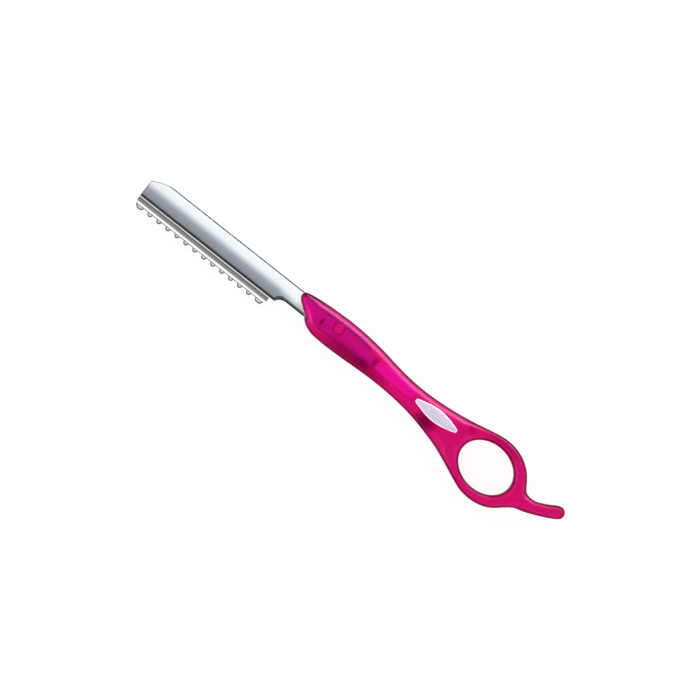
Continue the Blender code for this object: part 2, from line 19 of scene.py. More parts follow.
import bmesh
import bpy
import numpy as np
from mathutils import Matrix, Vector


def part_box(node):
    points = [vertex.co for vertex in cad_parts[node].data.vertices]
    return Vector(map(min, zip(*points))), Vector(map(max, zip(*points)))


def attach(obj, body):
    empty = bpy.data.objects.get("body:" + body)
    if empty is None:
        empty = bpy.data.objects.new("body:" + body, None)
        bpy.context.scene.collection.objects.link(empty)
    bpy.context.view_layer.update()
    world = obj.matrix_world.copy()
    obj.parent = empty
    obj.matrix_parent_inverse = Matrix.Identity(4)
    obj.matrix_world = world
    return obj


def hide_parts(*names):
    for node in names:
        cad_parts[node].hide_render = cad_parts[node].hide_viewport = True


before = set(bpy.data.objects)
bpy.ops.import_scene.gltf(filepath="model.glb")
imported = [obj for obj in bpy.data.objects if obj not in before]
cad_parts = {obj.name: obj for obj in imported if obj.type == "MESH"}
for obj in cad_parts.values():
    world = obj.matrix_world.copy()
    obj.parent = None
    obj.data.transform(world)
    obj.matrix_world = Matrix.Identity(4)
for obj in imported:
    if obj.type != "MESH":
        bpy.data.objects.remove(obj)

LOG = logging.getLogger("styling_razor")
MM = 0.001
WELD = 1e-8
UV_NAME = "marks"
# Most values of a noise lie between these two.
NOISE_LOW = 0.3
NOISE_HIGH = 0.7
Socket = bpy.types.NodeSocket
Tree = bpy.types.NodeTree


class Body(Enum):
    """The two bodies that move against each other."""

    HANDLE = "handle"
    CARTRIDGE = "cartridge"


class Slot(Enum):
    """Names of the record's material slots for the pieces."""

    PLASTIC = "handle_plastic"
    LABEL = "label"
    POLISHED = "polished_steel"
    BLADE = "blade_steel"
    GUARD = "guard_steel"


class Side(Enum):
    """The face that a piece lies on, as the sign of its z."""

    FRONT = 1
    REAR = -1


# Mesh tools


@dataclass(frozen=True)
class Bench:
    """Where the razor's own axes lie in the frame."""

    tip_x: float
    middle_z: float

    @classmethod
    def of_frame(cls) -> Bench:
        """Reads the blade tip and the mid-plane from the holder's box."""
        low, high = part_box("holder_cover")
        return cls(low.x, (low.z + high.z) / 2)

    def place(self, points: np.ndarray) -> np.ndarray:
        """Moves points from the razor's own axes to the frame."""
        return points + np.array((self.tip_x, 0, self.middle_z))


def add_object(name: str, data: bpy.types.ID) -> bpy.types.Object:
    """Makes an object at the origin and links it to the scene.

    Args:
        name: The object's name.
        data: Its mesh, lamp or camera.

    Returns:
        The new object.
    """
    obj = bpy.data.objects.new(name, data)
    bpy.context.scene.collection.objects.link(obj)
    return obj


def close_mesh(mesh: bpy.types.Mesh) -> None:
    """Welds points that coincide, and turns all faces outwards.

    Args:
        mesh: The mesh, which is changed.
    """
    bm = bmesh.new()
    bm.from_mesh(mesh)
    bmesh.ops.remove_doubles(bm, verts=bm.verts, dist=WELD)
    bmesh.ops.recalc_face_normals(bm, faces=bm.faces)
    bm.to_mesh(mesh)
    bm.free()


@dataclass
class Skin:
    """Points and faces of one piece, gathered patch by patch.

    Each patch may carry a pair of numbers for each point, which becomes the piece's UV map.
    """

    points: list[np.ndarray] = field(default_factory=list)
    faces: list[np.ndarray] = field(default_factory=list)
    marks: list[np.ndarray] = field(default_factory=list)
    count: int = 0

    def add(self, points: np.ndarray, faces: np.ndarray, marks: np.ndarray | None = None) -> None:
        """Adds a patch.

        Args:
            points: An array whose last axis is x, y, z.
            faces: Quads that count from the patch's first point.
            marks: Two numbers for each point, or None for zeros.
        """
        flat = points.reshape(-1, 3)
        if marks is None:
            marks = np.zeros((len(flat), 2))
        self.points.append(flat)
        self.faces.append(faces + self.count)
        self.marks.append(marks.reshape(-1, 2))
        self.count += len(flat)

    def build(self, name: str, bench: Bench) -> bpy.types.Object:
        """Makes the piece from the gathered patches, with its marks as a UV map.

        Args:
            name: The object's name.
            bench: Where the razor lies in the frame.

        Returns:
            The new object, at the origin, with its place in its mesh.
        """
        points = bench.place(np.concatenate(self.points))
        faces = np.concatenate(self.faces)
        marks = np.concatenate(self.marks)
        mesh = bpy.data.meshes.new(name)
        mesh.from_pydata(points.tolist(), [], faces.tolist())
        corners = np.empty(len(mesh.loops), np.int32)
        mesh.loops.foreach_get("vertex_index", corners)
        layer = mesh.uv_layers.new(name=UV_NAME)
        layer.data.foreach_set("uv", marks[corners].astype(np.float32).ravel())
        close_mesh(mesh)
        return add_object(name, mesh)


def grid_quads(rows: int, columns: int, wrap: bool = False) -> np.ndarray:
    """Quads of a grid whose points are numbered row by row.

    Args:
        rows: The number of rows.
        columns: The number of points in a row.
        wrap: True if each row is a closed ring.

    Returns:
        An array of four corners a quad.
    """
    row, column = np.meshgrid(np.arange(rows - 1), np.arange(columns - (not wrap)), indexing="ij")
    after = (column + 1) % columns
    low, high = row * columns, (row + 1) * columns
    return np.stack((low + column, low + after, high + after, high + column), axis=-1).reshape(-1, 4)


def add_shell(skin: Skin, front: np.ndarray, back: np.ndarray, marks: np.ndarray | None = None) -> None:
    """Adds a closed body between two grids of the same size: both grids and the strip round their border.

    Args:
        skin: The piece that the body is added to.
        front: The first grid, rows by columns by 3.
        back: The second grid, point for point behind the first.
        marks: Two numbers for each point of a grid, used on both.
    """
    rows, columns = front.shape[:2]
    count = rows * columns
    numbers = np.arange(count).reshape(rows, columns)
    border = np.concatenate((numbers[0, :-1], numbers[:-1, -1], numbers[-1, :0:-1], numbers[:0:-1, 0]))
    after = np.roll(border, -1)
    strip = np.stack((border, border + count, after + count, after), axis=-1)
    quads = grid_quads(rows, columns)
    doubled = None if marks is None else np.concatenate((marks.reshape(-1, 2), marks.reshape(-1, 2)))
    points = np.concatenate((front.reshape(-1, 3), back.reshape(-1, 3)))
    skin.add(points, np.concatenate((quads, quads[:, ::-1] + count, strip)), doubled)


def stack(*parts: np.ndarray) -> np.ndarray:
    """Points or marks from arrays that broadcast to one shape, each the values of one axis or mark."""
    return np.stack(np.broadcast_arrays(*parts), axis=-1)


def eased_steps(start: float, end: float, steps: int) -> np.ndarray:
    """Places from start to end, crowded towards both like the shadows of even steps round a half circle."""
    return start + (end - start) * (1 - np.cos(np.linspace(0, math.pi, steps + 1))) / 2


def smooth(obj: bpy.types.Object, angle: float) -> None:
    """Shades a piece smooth, and keeps the edges sharp that turn by more than the angle."""
    obj.data.shade_smooth()
    obj.data.set_sharp_from_angle(angle=angle)


def prism(name: str, loop: np.ndarray, low: float, high: float, bench: Bench) -> bpy.types.Object:
    """A flat outline carried straight from one height to another, closed by a flat face at each end.

    Args:
        name: The object's name.
        loop: Points of the outline, an array of x, y.
        low: The height of its lower face.
        high: The height of its upper face.
        bench: Where the razor lies in the frame.

    Returns:
        The new object.
    """
    count = len(loop)
    levels = np.array((low, high))[:, None]
    points = bench.place(stack(loop[:, 0], loop[:, 1], levels).reshape(-1, 3))
    sides = grid_quads(2, count, wrap=True).tolist()
    ends = [list(range(count)), list(range(count, 2 * count))]
    mesh = bpy.data.meshes.new(name)
    mesh.from_pydata(points.tolist(), [], sides + ends)
    close_mesh(mesh)
    return add_object(name, mesh)


def disc(centre: tuple[float, float], diameter: float, steps: int) -> np.ndarray:
    """Points of a circle, anticlockwise."""
    turns = np.arange(steps) * 2 * math.pi / steps
    return np.array(centre) + diameter / 2 * np.column_stack((np.cos(turns), np.sin(turns)))


def cut(obj: bpy.types.Object, cutters: list[bpy.types.Object]) -> None:
    """Takes the cutters out of a piece, makes the result its mesh and removes the cutters.

    Args:
        obj: The piece, which gets a new mesh.
        cutters: Closed objects.
    """
    for cutter in cutters:
        modifier = obj.modifiers.new(cutter.name, "BOOLEAN")
        modifier.operation = "DIFFERENCE"
        modifier.solver = "EXACT"
        modifier.object = cutter
    graph = bpy.context.evaluated_depsgraph_get()
    result = bpy.data.meshes.new_from_object(obj.evaluated_get(graph))
    obj.modifiers.clear()
    obj.data = result
    for cutter in cutters:
        bpy.data.objects.remove(cutter, do_unlink=True)


def closed_spline(points: np.ndarray, steps: int) -> np.ndarray:
    """A closed centripetal Catmull-Rom curve: three rounds of linear blends between knots.

    The knots lie apart by the square root of the distance between the points.

    Args:
        points: The points that the curve passes through.
        steps: How many points each span gets.

    Returns:
        The curve's points, the first of them points[0].
    """
    before = np.roll(points, 1, axis=0)
    after = np.roll(points, -1, axis=0)
    beyond = np.roll(points, -2, axis=0)
    first = np.sqrt(np.hypot(*(points - before).T))[:, None]
    second = first + np.sqrt(np.hypot(*(after - points).T))[:, None]
    third = second + np.sqrt(np.hypot(*(beyond - after).T))[:, None]
    found = []
    for share in np.arange(steps) / steps:
        at = first + share * (second - first)
        low = (before * (first - at) + points * at) / first
        middle = (points * (second - at) + after * (at - first)) / (second - first)
        high = (after * (third - at) + beyond * (at - second)) / (third - second)
        left = (low * (second - at) + middle * at) / second
        right = (middle * (third - at) + high * (at - first)) / (third - first)
        found.append((left * (second - at) + right * (at - first)) / (second - first))
    return np.stack(found, axis=1).reshape(-1, 2)


def inward(loop: np.ndarray) -> np.ndarray:
    """Unit vectors to the left of a closed loop's direction of travel."""
    step = np.roll(loop, -1, axis=0) - np.roll(loop, 1, axis=0)
    return np.column_stack((-step[:, 1], step[:, 0])) / np.hypot(*step.T)[:, None]


# Finishes


def linear(colour: str) -> tuple[float, float, float, float]:
    """Turns an sRGB hex colour into linear red, green and blue, with full alpha.

    Args:
        colour: The colour: # and six hex digits.

    Returns:
        Red, green, blue and alpha, from 0 to 1.
    """
    parts = np.array([int(colour[at : at + 2], 16) for at in (1, 3, 5)]) / 255
    light = np.where(parts <= 0.04045, parts / 12.92, ((parts + 0.055) / 1.055) ** 2.4)
    return (*light.tolist(), 1.0)


def add_node(
    tree: Tree, kind: str, settings: dict[str | int, object] | None = None,
    links: dict[str | int, Socket] | None = None,
) -> bpy.types.Node:
    """Adds a node with its settings and links.

    Args:
        tree: The node tree.
        kind: The node's Blender type.
        settings: Values by the name of a property of the node, or by the name or number of an input.
        links: Output sockets by the name or number of the input that they feed.

    Returns:
        The new node.
    """
    node = tree.nodes.new(kind)
    for name, value in (settings or {}).items():
        if isinstance(name, str) and hasattr(node, name):
            setattr(node, name, value)
        else:
            node.inputs[name].default_value = value
    for name, source in (links or {}).items():
        tree.links.new(source, node.inputs[name])
    return node


@dataclass(frozen=True)
class Finish:
    """What every finish has: a name, a colour, and a new material with an empty tree to draw it in."""

    name: str
    colour: str

    def new_tree(self) -> tuple[bpy.types.Material, Tree]:
        """Makes the material and clears its nodes.

        Returns:
            The material and its tree.
        """
        material = bpy.data.materials.new(self.name)
        material.use_nodes = True
        material.node_tree.nodes.clear()
        material.diffuse_color = linear(self.colour)
        return material, material.node_tree


def noise(tree: Tree, size: tuple[float, float, float], detail: float) -> Socket:
    """A noise on Object coordinates whose blobs have the given real size along each axis.

    Args:
        tree: The node tree.
        size: The length of one blob along x, y and z, in metres.
        detail: How many finer layers are laid over it.

    Returns:
        The noise's factor, from 0 to 1.
    """
    place = add_node(tree, "ShaderNodeTexCoord")
    scale = tuple(1 / length for length in size)
    turned = add_node(tree, "ShaderNodeMapping", {"Scale": scale}, {"Vector": place.outputs["Object"]})
    drawn = add_node(
        tree, "ShaderNodeTexNoise", {"Scale": 1.0, "Detail": detail}, {"Vector": turned.outputs["Vector"]}
    )
    return drawn.outputs["Fac"]


def ranged(tree: Tree, source: Socket, low: float, high: float) -> Socket:
    """Spreads the middle of a noise, where most of its values lie, over low to high.

    Args:
        tree: The node tree.
        source: The noise.
        low: What its low values become.
        high: What its high values become.

    Returns:
        The spread values.
    """
    node = add_node(
        tree,
        "ShaderNodeMapRange",
        {"From Min": NOISE_LOW, "From Max": NOISE_HIGH, "To Min": low, "To Max": high},
        {"Value": source},
    )
    return node.outputs["Result"]


def blend_colours(tree: Tree, share: Socket, first: str | Socket, second: str) -> Socket:
    """Two colours, mixed by a share from 0 to 1.

    Args:
        tree: The node tree.
        share: The second colour's share.
        first: An sRGB hex colour, or the output that gives one.
        second: An sRGB hex colour.

    Returns:
        The mixed colour.
    """
    settings = {"data_type": "RGBA", 7: linear(second)}
    links = {0: share}
    if isinstance(first, str):
        settings[6] = linear(first)
    else:
        links[6] = first
    return add_node(tree, "ShaderNodeMix", settings, links).outputs[2]


def mark_of(tree: Tree, axis: str) -> Socket:
    """The first mark, X, or the second mark, Y, of the point that is shaded.

    Args:
        tree: The node tree.
        axis: X or Y.

    Returns:
        The mark's value.
    """
    marks = add_node(tree, "ShaderNodeUVMap", {"uv_map": UV_NAME})
    split = add_node(tree, "ShaderNodeSeparateXYZ", links={"Vector": marks.outputs["UV"]})
    return split.outputs[axis]


def bumped(tree: Tree, height: Socket, depth: float) -> Socket:
    """The normal of a surface that a height from 0 to 1 raises by up to the depth."""
    node = add_node(tree, "ShaderNodeBump", {"Strength": 1.0, "Distance": depth}, {"Height": height})
    return node.outputs["Normal"]


@dataclass(frozen=True)
class RolledSteel(Finish):
    """Stainless strip: lines left along it by the polishing belt, and a faint haze from handling."""

    second_colour: str
    low_roughness: float
    high_roughness: float
    line_spacing: float
    line_length: float
    line_depth: float
    line_detail: float = 3.0
    line_share: float = 0.35
    haze_size: float = 9 * MM
    haze_detail: float = 4.0

    def face_colour(self, tree: Tree, haze: Socket) -> Socket:
        """The steel's two colours, mixed by the haze."""
        return blend_colours(tree, ranged(tree, haze, 0.0, 1.0), self.colour, self.second_colour)

    def build(self) -> bpy.types.Material:
        """Draws the lines as a noise stretched along the strip, in bump and roughness, under a broad haze.

        Returns:
            The material.
        """
        material, tree = self.new_tree()
        lines = noise(tree, (self.line_length, self.line_spacing, self.line_spacing), self.line_detail)
        haze = noise(tree, (self.haze_size, self.haze_size, self.haze_size), self.haze_detail)
        both = add_node(
            tree, "ShaderNodeMix", {"data_type": "FLOAT", 0: self.line_share}, {2: haze, 3: lines}
        )
        shader = add_node(
            tree,
            "ShaderNodeBsdfPrincipled",
            {"Metallic": 1.0},
            {
                "Base Color": self.face_colour(tree, haze),
                "Roughness": ranged(tree, both.outputs[0], self.low_roughness, self.high_roughness),
                "Normal": bumped(tree, lines, self.line_depth),
            },
        )
        add_node(tree, "ShaderNodeOutputMaterial", links={"Surface": shader.outputs["BSDF"]})
        return material


@dataclass(frozen=True)
class ShadePaintedSteel(RolledSteel):
    """Strip with painted shade: a dark colour stands in for the dark reflections and shade of its fold lines,
    edges and bends.

    The first mark on the surface is how much shade is painted there, 1 at its darkest and 0 on an open face.
    """

    # Painted shade: the colour where the painted shade is darkest.
    painted_shade_colour: str = "#07090c"

    def face_colour(self, tree: Tree, haze: Socket) -> Socket:
        """Lays the painted shade over the strip's own colour."""
        return blend_colours(tree, mark_of(tree, "X"), super().face_colour(tree, haze), self.painted_shade_colour)


@dataclass(frozen=True)
class ClearPlastic(Finish):
    """Injection-moulded tinted acrylic: clear, glossy and deeply coloured, so that what is inside it shows.

    Most of the tint is in the depth. The first mark is painted shade: 1 along the outline, in place of the
    dark edge that refraction gives there, and more than 0 in ovals of painted shadow and darker patches. It
    makes the tint deeper there, and darkens the reflections towards the rim's colour.
    """

    depth_colour: str
    density: float
    rim_shade_colour: str
    shadow_colour: str
    low_roughness: float
    high_roughness: float
    wave_size: float
    wave_depth: float
    ior: float = 1.49
    reflection_colour: str = "#ff68c4"
    wave_detail: float = 1.0
    scuff_size: tuple[float, float, float] = (2.5 * MM, 0.6 * MM, 0.6 * MM)
    scuff_detail: float = 5.0

    def build(self) -> bpy.types.Material:
        """Glass with an absorbing depth, slow waves from moulding, and finer scuffs in its roughness.

        Shadow rays pass straight through with a faint tint, so that the floor's shadow stays light.

        Returns:
            The material.
        """
        material, tree = self.new_tree()
        waves = noise(tree, (self.wave_size, self.wave_size, self.wave_size), self.wave_detail)
        scuffs = noise(tree, self.scuff_size, self.scuff_detail)
        deep = mark_of(tree, "X")
        glass = add_node(
            tree,
            "ShaderNodeBsdfPrincipled",
            {"Transmission Weight": 1.0, "IOR": self.ior},
            {
                # Painted shade: the first mark darkens the tint and the reflections along the outline and in
                # the shade ovals.
                "Base Color": blend_colours(tree, deep, self.colour, self.rim_shade_colour),
                "Specular Tint": blend_colours(tree, deep, self.reflection_colour, self.rim_shade_colour),
                "Roughness": ranged(tree, scuffs, self.low_roughness, self.high_roughness),
                "Normal": bumped(tree, waves, self.wave_depth),
            },
        )
        through = add_node(tree, "ShaderNodeBsdfTransparent", {"Color": linear(self.shadow_colour)})
        path = add_node(tree, "ShaderNodeLightPath")
        surface = add_node(
            tree,
            "ShaderNodeMixShader",
            links={0: path.outputs["Is Shadow Ray"], 1: glass.outputs["BSDF"], 2: through.outputs["BSDF"]},
        )
        depth = add_node(
            tree, "ShaderNodeVolumeAbsorption", {"Color": linear(self.depth_colour), "Density": self.density}
        )
        add_node(
            tree,
            "ShaderNodeOutputMaterial",
            links={"Surface": surface.outputs["Shader"], "Volume": depth.outputs["Volume"]},
        )
        return material


@dataclass(frozen=True)
class MetallisedFilm(Finish):
    """Silver film under a clear coat, with a pale printed border.

    The second mark is 0 in the middle and 1 at the rim.
    """

    shade_colour: str
    border_colour: str
    border_share: float
    grain: float
    blur_share: float = 0.03
    streak_grains: float = 60.0
    streak_detail: float = 3.0
    low_roughness: float = 0.22
    high_roughness: float = 0.42
    shade_strength: float = 0.25
    metal_share: float = 0.85
    coat_weight: float = 0.6
    coat_roughness: float = 0.06

    def build(self) -> bpy.types.Material:
        """Brushed film inside, and white print where the second mark passes the border's share.

        Returns:
            The material.
        """
        material, tree = self.new_tree()
        limits = {
            "From Min": self.border_share - self.blur_share,
            "From Max": self.border_share + self.blur_share,
        }
        border = add_node(tree, "ShaderNodeMapRange", limits, {"Value": mark_of(tree, "Y")}).outputs["Result"]
        streaks = noise(tree, (self.streak_grains * self.grain, self.grain, self.grain), self.streak_detail)
        shade = ranged(tree, streaks, self.shade_strength, 0.0)
        film = blend_colours(tree, shade, self.colour, self.shade_colour)
        metal = add_node(
            tree, "ShaderNodeMath", {"operation": "SUBTRACT", 0: self.metal_share, "use_clamp": True},
            {1: border},
        )
        shader = add_node(
            tree,
            "ShaderNodeBsdfPrincipled",
            {"Coat Weight": self.coat_weight, "Coat Roughness": self.coat_roughness},
            {
                "Base Color": blend_colours(tree, border, film, self.border_colour),
                "Metallic": metal.outputs["Value"],
                "Roughness": ranged(tree, streaks, self.low_roughness, self.high_roughness),
            },
        )
        add_node(tree, "ShaderNodeOutputMaterial", links={"Surface": shader.outputs["BSDF"]})
        return material


@dataclass(frozen=True)
class StudioPaper(Finish):
    """White background paper, lifted towards pure white for what the camera, metal and plastic see of it."""

    lift: float

    def build(self) -> bpy.types.Material:
        """Matt paper, mixed with plain white light for camera, glossy and transmission rays.

        Returns:
            The material.
        """
        material, tree = self.new_tree()
        paper = add_node(
            tree, "ShaderNodeBsdfPrincipled",
            {"Base Color": linear(self.colour), "Roughness": 1.0, "Specular IOR Level": 0.0},
        )
        white = add_node(tree, "ShaderNodeEmission", {"Color": linear("#ffffff"), "Strength": 1.0})
        path = add_node(tree, "ShaderNodeLightPath")
        first = add_node(
            tree, "ShaderNodeMath", {"operation": "MAXIMUM"},
            {0: path.outputs["Is Camera Ray"], 1: path.outputs["Is Glossy Ray"]},
        )
        both = add_node(
            tree, "ShaderNodeMath", {"operation": "MAXIMUM"},
            {0: first.outputs["Value"], 1: path.outputs["Is Transmission Ray"]},
        )
        share = add_node(
            tree, "ShaderNodeMath", {"operation": "MULTIPLY", 1: self.lift}, {0: both.outputs["Value"]}
        )
        surface = add_node(
            tree,
            "ShaderNodeMixShader",
            links={0: share.outputs["Value"], 1: paper.outputs["BSDF"], 2: white.outputs["Emission"]},
        )
        add_node(tree, "ShaderNodeOutputMaterial", links={"Surface": surface.outputs["Shader"]})
        return material


# Stainless sheet, polished by belt and wheel: a mirror with fine lines along it, with painted shade for the
# dark reflections of its folds, lips, cut edges and spine, and for the dimmer tang inside the handle. The
# lines are about
# 0.02 mm apart on real steel, and are drawn coarser on all four steels so that they show.
HOLDER_STEEL = ShadePaintedSteel(
    "polished_stainless_steel", "#edefef", "#e8eaeb", low_roughness=0.07, high_roughness=0.11,
    line_spacing=0.35 * MM, line_length=18 * MM, line_depth=0.0003 * MM,
)
# Spring strip, hardened and left as rolled: a darker grey with a dull sheen.
CORE_STEEL = RolledSteel(
    "hardened_spring_steel", "#6d7177", "#5a5e65", low_roughness=0.18, high_roughness=0.30,
    line_spacing=0.4 * MM, line_length=14 * MM, line_depth=0.002 * MM,
)
# Blade strip, ground to its edge: a plain grey that flashes along the bevel.
BLADE_STEEL = RolledSteel(
    "ground_blade_steel", "#c3c5c6", "#a9acae", low_roughness=0.12, high_roughness=0.22,
    line_spacing=0.3 * MM, line_length=6 * MM, line_depth=0.001 * MM,
)
# Stainless strip, pressed into rib and teeth: pale and bright, with painted shade at its bends, groove, rib,
# lower edge and round its teeth.
GUARD_STEEL = ShadePaintedSteel(
    "pressed_stainless_steel", "#f6f4f0", "#ece9e4", low_roughness=0.14, high_roughness=0.22,
    line_spacing=0.3 * MM, line_length=7 * MM, line_depth=0.0005 * MM,
)
# Tinted acrylic, injection moulded and worn a little matt: a deep magenta glow with soft highlights, and a
# dark rim colour for its painted shade.
HANDLE_PLASTIC = ClearPlastic(
    "moulded_magenta_acrylic", "#ff30e2", depth_colour="#f7bcde", density=900.0, rim_shade_colour="#68083c",
    shadow_colour="#fce3f9", low_roughness=0.28, high_roughness=0.32, wave_size=9 * MM,
    wave_depth=0.004 * MM,
)
# Metallised film, brushed and clear coated: a silver sheen with faint streaks inside a pale border.
LABEL_FILM = MetallisedFilm(
    "metallised_label_film", "#f0e4f2", shade_colour="#c4bfcc", border_colour="#f8e4f1",
    border_share=0.88, grain=0.12 * MM,
)
# Background paper, uncoated and matt: an even white that takes only a soft, pale shadow.
PAPER = StudioPaper("white_studio_paper", "#fafafa", lift=0.9)


# The razor's sub-assemblies


def paint(obj: bpy.types.Object, finish: bpy.types.Material) -> None:
    """Gives an object one material."""
    obj.data.materials.clear()
    obj.data.materials.append(finish)


def fit(obj: bpy.types.Object, finish: bpy.types.Material, slot: Slot, body: Body, *nodes: str) -> None:
    """Paints a piece, hangs it on its body's empty and hides the CAD nodes that it stands for.

    Args:
        obj: The piece.
        finish: Its material.
        slot: Not used.
        body: The body that it moves with.
        nodes: Names of the CAD nodes that it stands for.
    """
    paint(obj, finish)
    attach(obj, body.value)
    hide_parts(*nodes)
    LOG.info("%s: %d faces on %s", obj.name, len(obj.data.polygons), body.value)


@dataclass(frozen=True)
class HolderSizes:
    """Sizes of the folded holder, which the handle and the cartridge follow."""

    spine_y: float = 9.8 * MM
    height: float = 10.0 * MM
    thickness: float = 3.1 * MM
    sheet: float = 0.5 * MM
    jaw_length: float = 65.6 * MM
    neck_length: float = 7.0 * MM
    notch_rise: float = 2.5 * MM
    notch_radius: float = 4.0 * MM
    lip_height: float = 0.87 * MM
    lip_drop: float = 0.50 * MM
    neck_lip_drop: float = 0.14 * MM
    neck_sag: float = 0.12 * MM
    lip_inner_half: float = 0.70 * MM
    lip_round: float = 0.10 * MM
    crease_lead: float = 0.6 * MM
    crease_radius: float = 2.9 * MM
    crease_step: float = 0.12 * MM
    step_drop_shares: tuple[float, float, float] = (2.0, 1.0, 0.35)
    step_depth_shares: tuple[float, float, float] = (1.6, 1.6, 1.3)
    notch_band_shares: tuple[float, float] = (0.35, 0.45)
    neck_band_shares: tuple[float, float] = (0.62, 0.69)
    band_power: float = 6.0
    crown_centre_y: float = 3.0 * MM
    crown_power: float = 2.8
    tang_power: float = 10.0
    tang_power_run: float = 2.5 * MM
    least_sheet: float = 0.05 * MM
    tang_slope: float = 0.045
    tang_slope_run: float = 7.0 * MM
    tang_slope_lead: float = 1.0 * MM
    inner_power: float = 6.0
    trim_length: float = 8.4 * MM
    trim_drop: float = 3.0 * MM
    trim_bulge: float = 0.52 * MM
    tang_length: float = 37.2 * MM
    tang_cut_length: float = 7.7 * MM
    tang_cut_drop: float = 3.2 * MM
    slot_reach: float = 12.4 * MM
    slot_width: float = 0.8 * MM
    slot_height: float = 3.5 * MM
    main_hole: tuple[float, float, float] = (19.3 * MM, 3.1 * MM, 4.75 * MM)
    small_hole: tuple[float, float, float] = (30.7 * MM, 5.0 * MM, 1.8 * MM)

    @property
    def lip_y(self) -> float:
        """Height of the lips' edge along the jaw."""
        return self.spine_y - self.height

    @property
    def neck_y(self) -> float:
        """Height of the lips' edge along the neck and the tang."""
        return self.lip_y + self.notch_rise

    @property
    def handle_x(self) -> float:
        """Where the handle starts."""
        return self.jaw_length + self.neck_length

    @property
    def tang_end_x(self) -> float:
        """Where the tang ends."""
        return self.handle_x + self.tang_length

    def hole_place(self, hole: tuple[float, float, float]) -> tuple[float, float]:
        """Centre of a hole that is given by its reach past the handle's front, its depth and its diameter."""
        return (self.handle_x + hole[0], self.spine_y - hole[1])


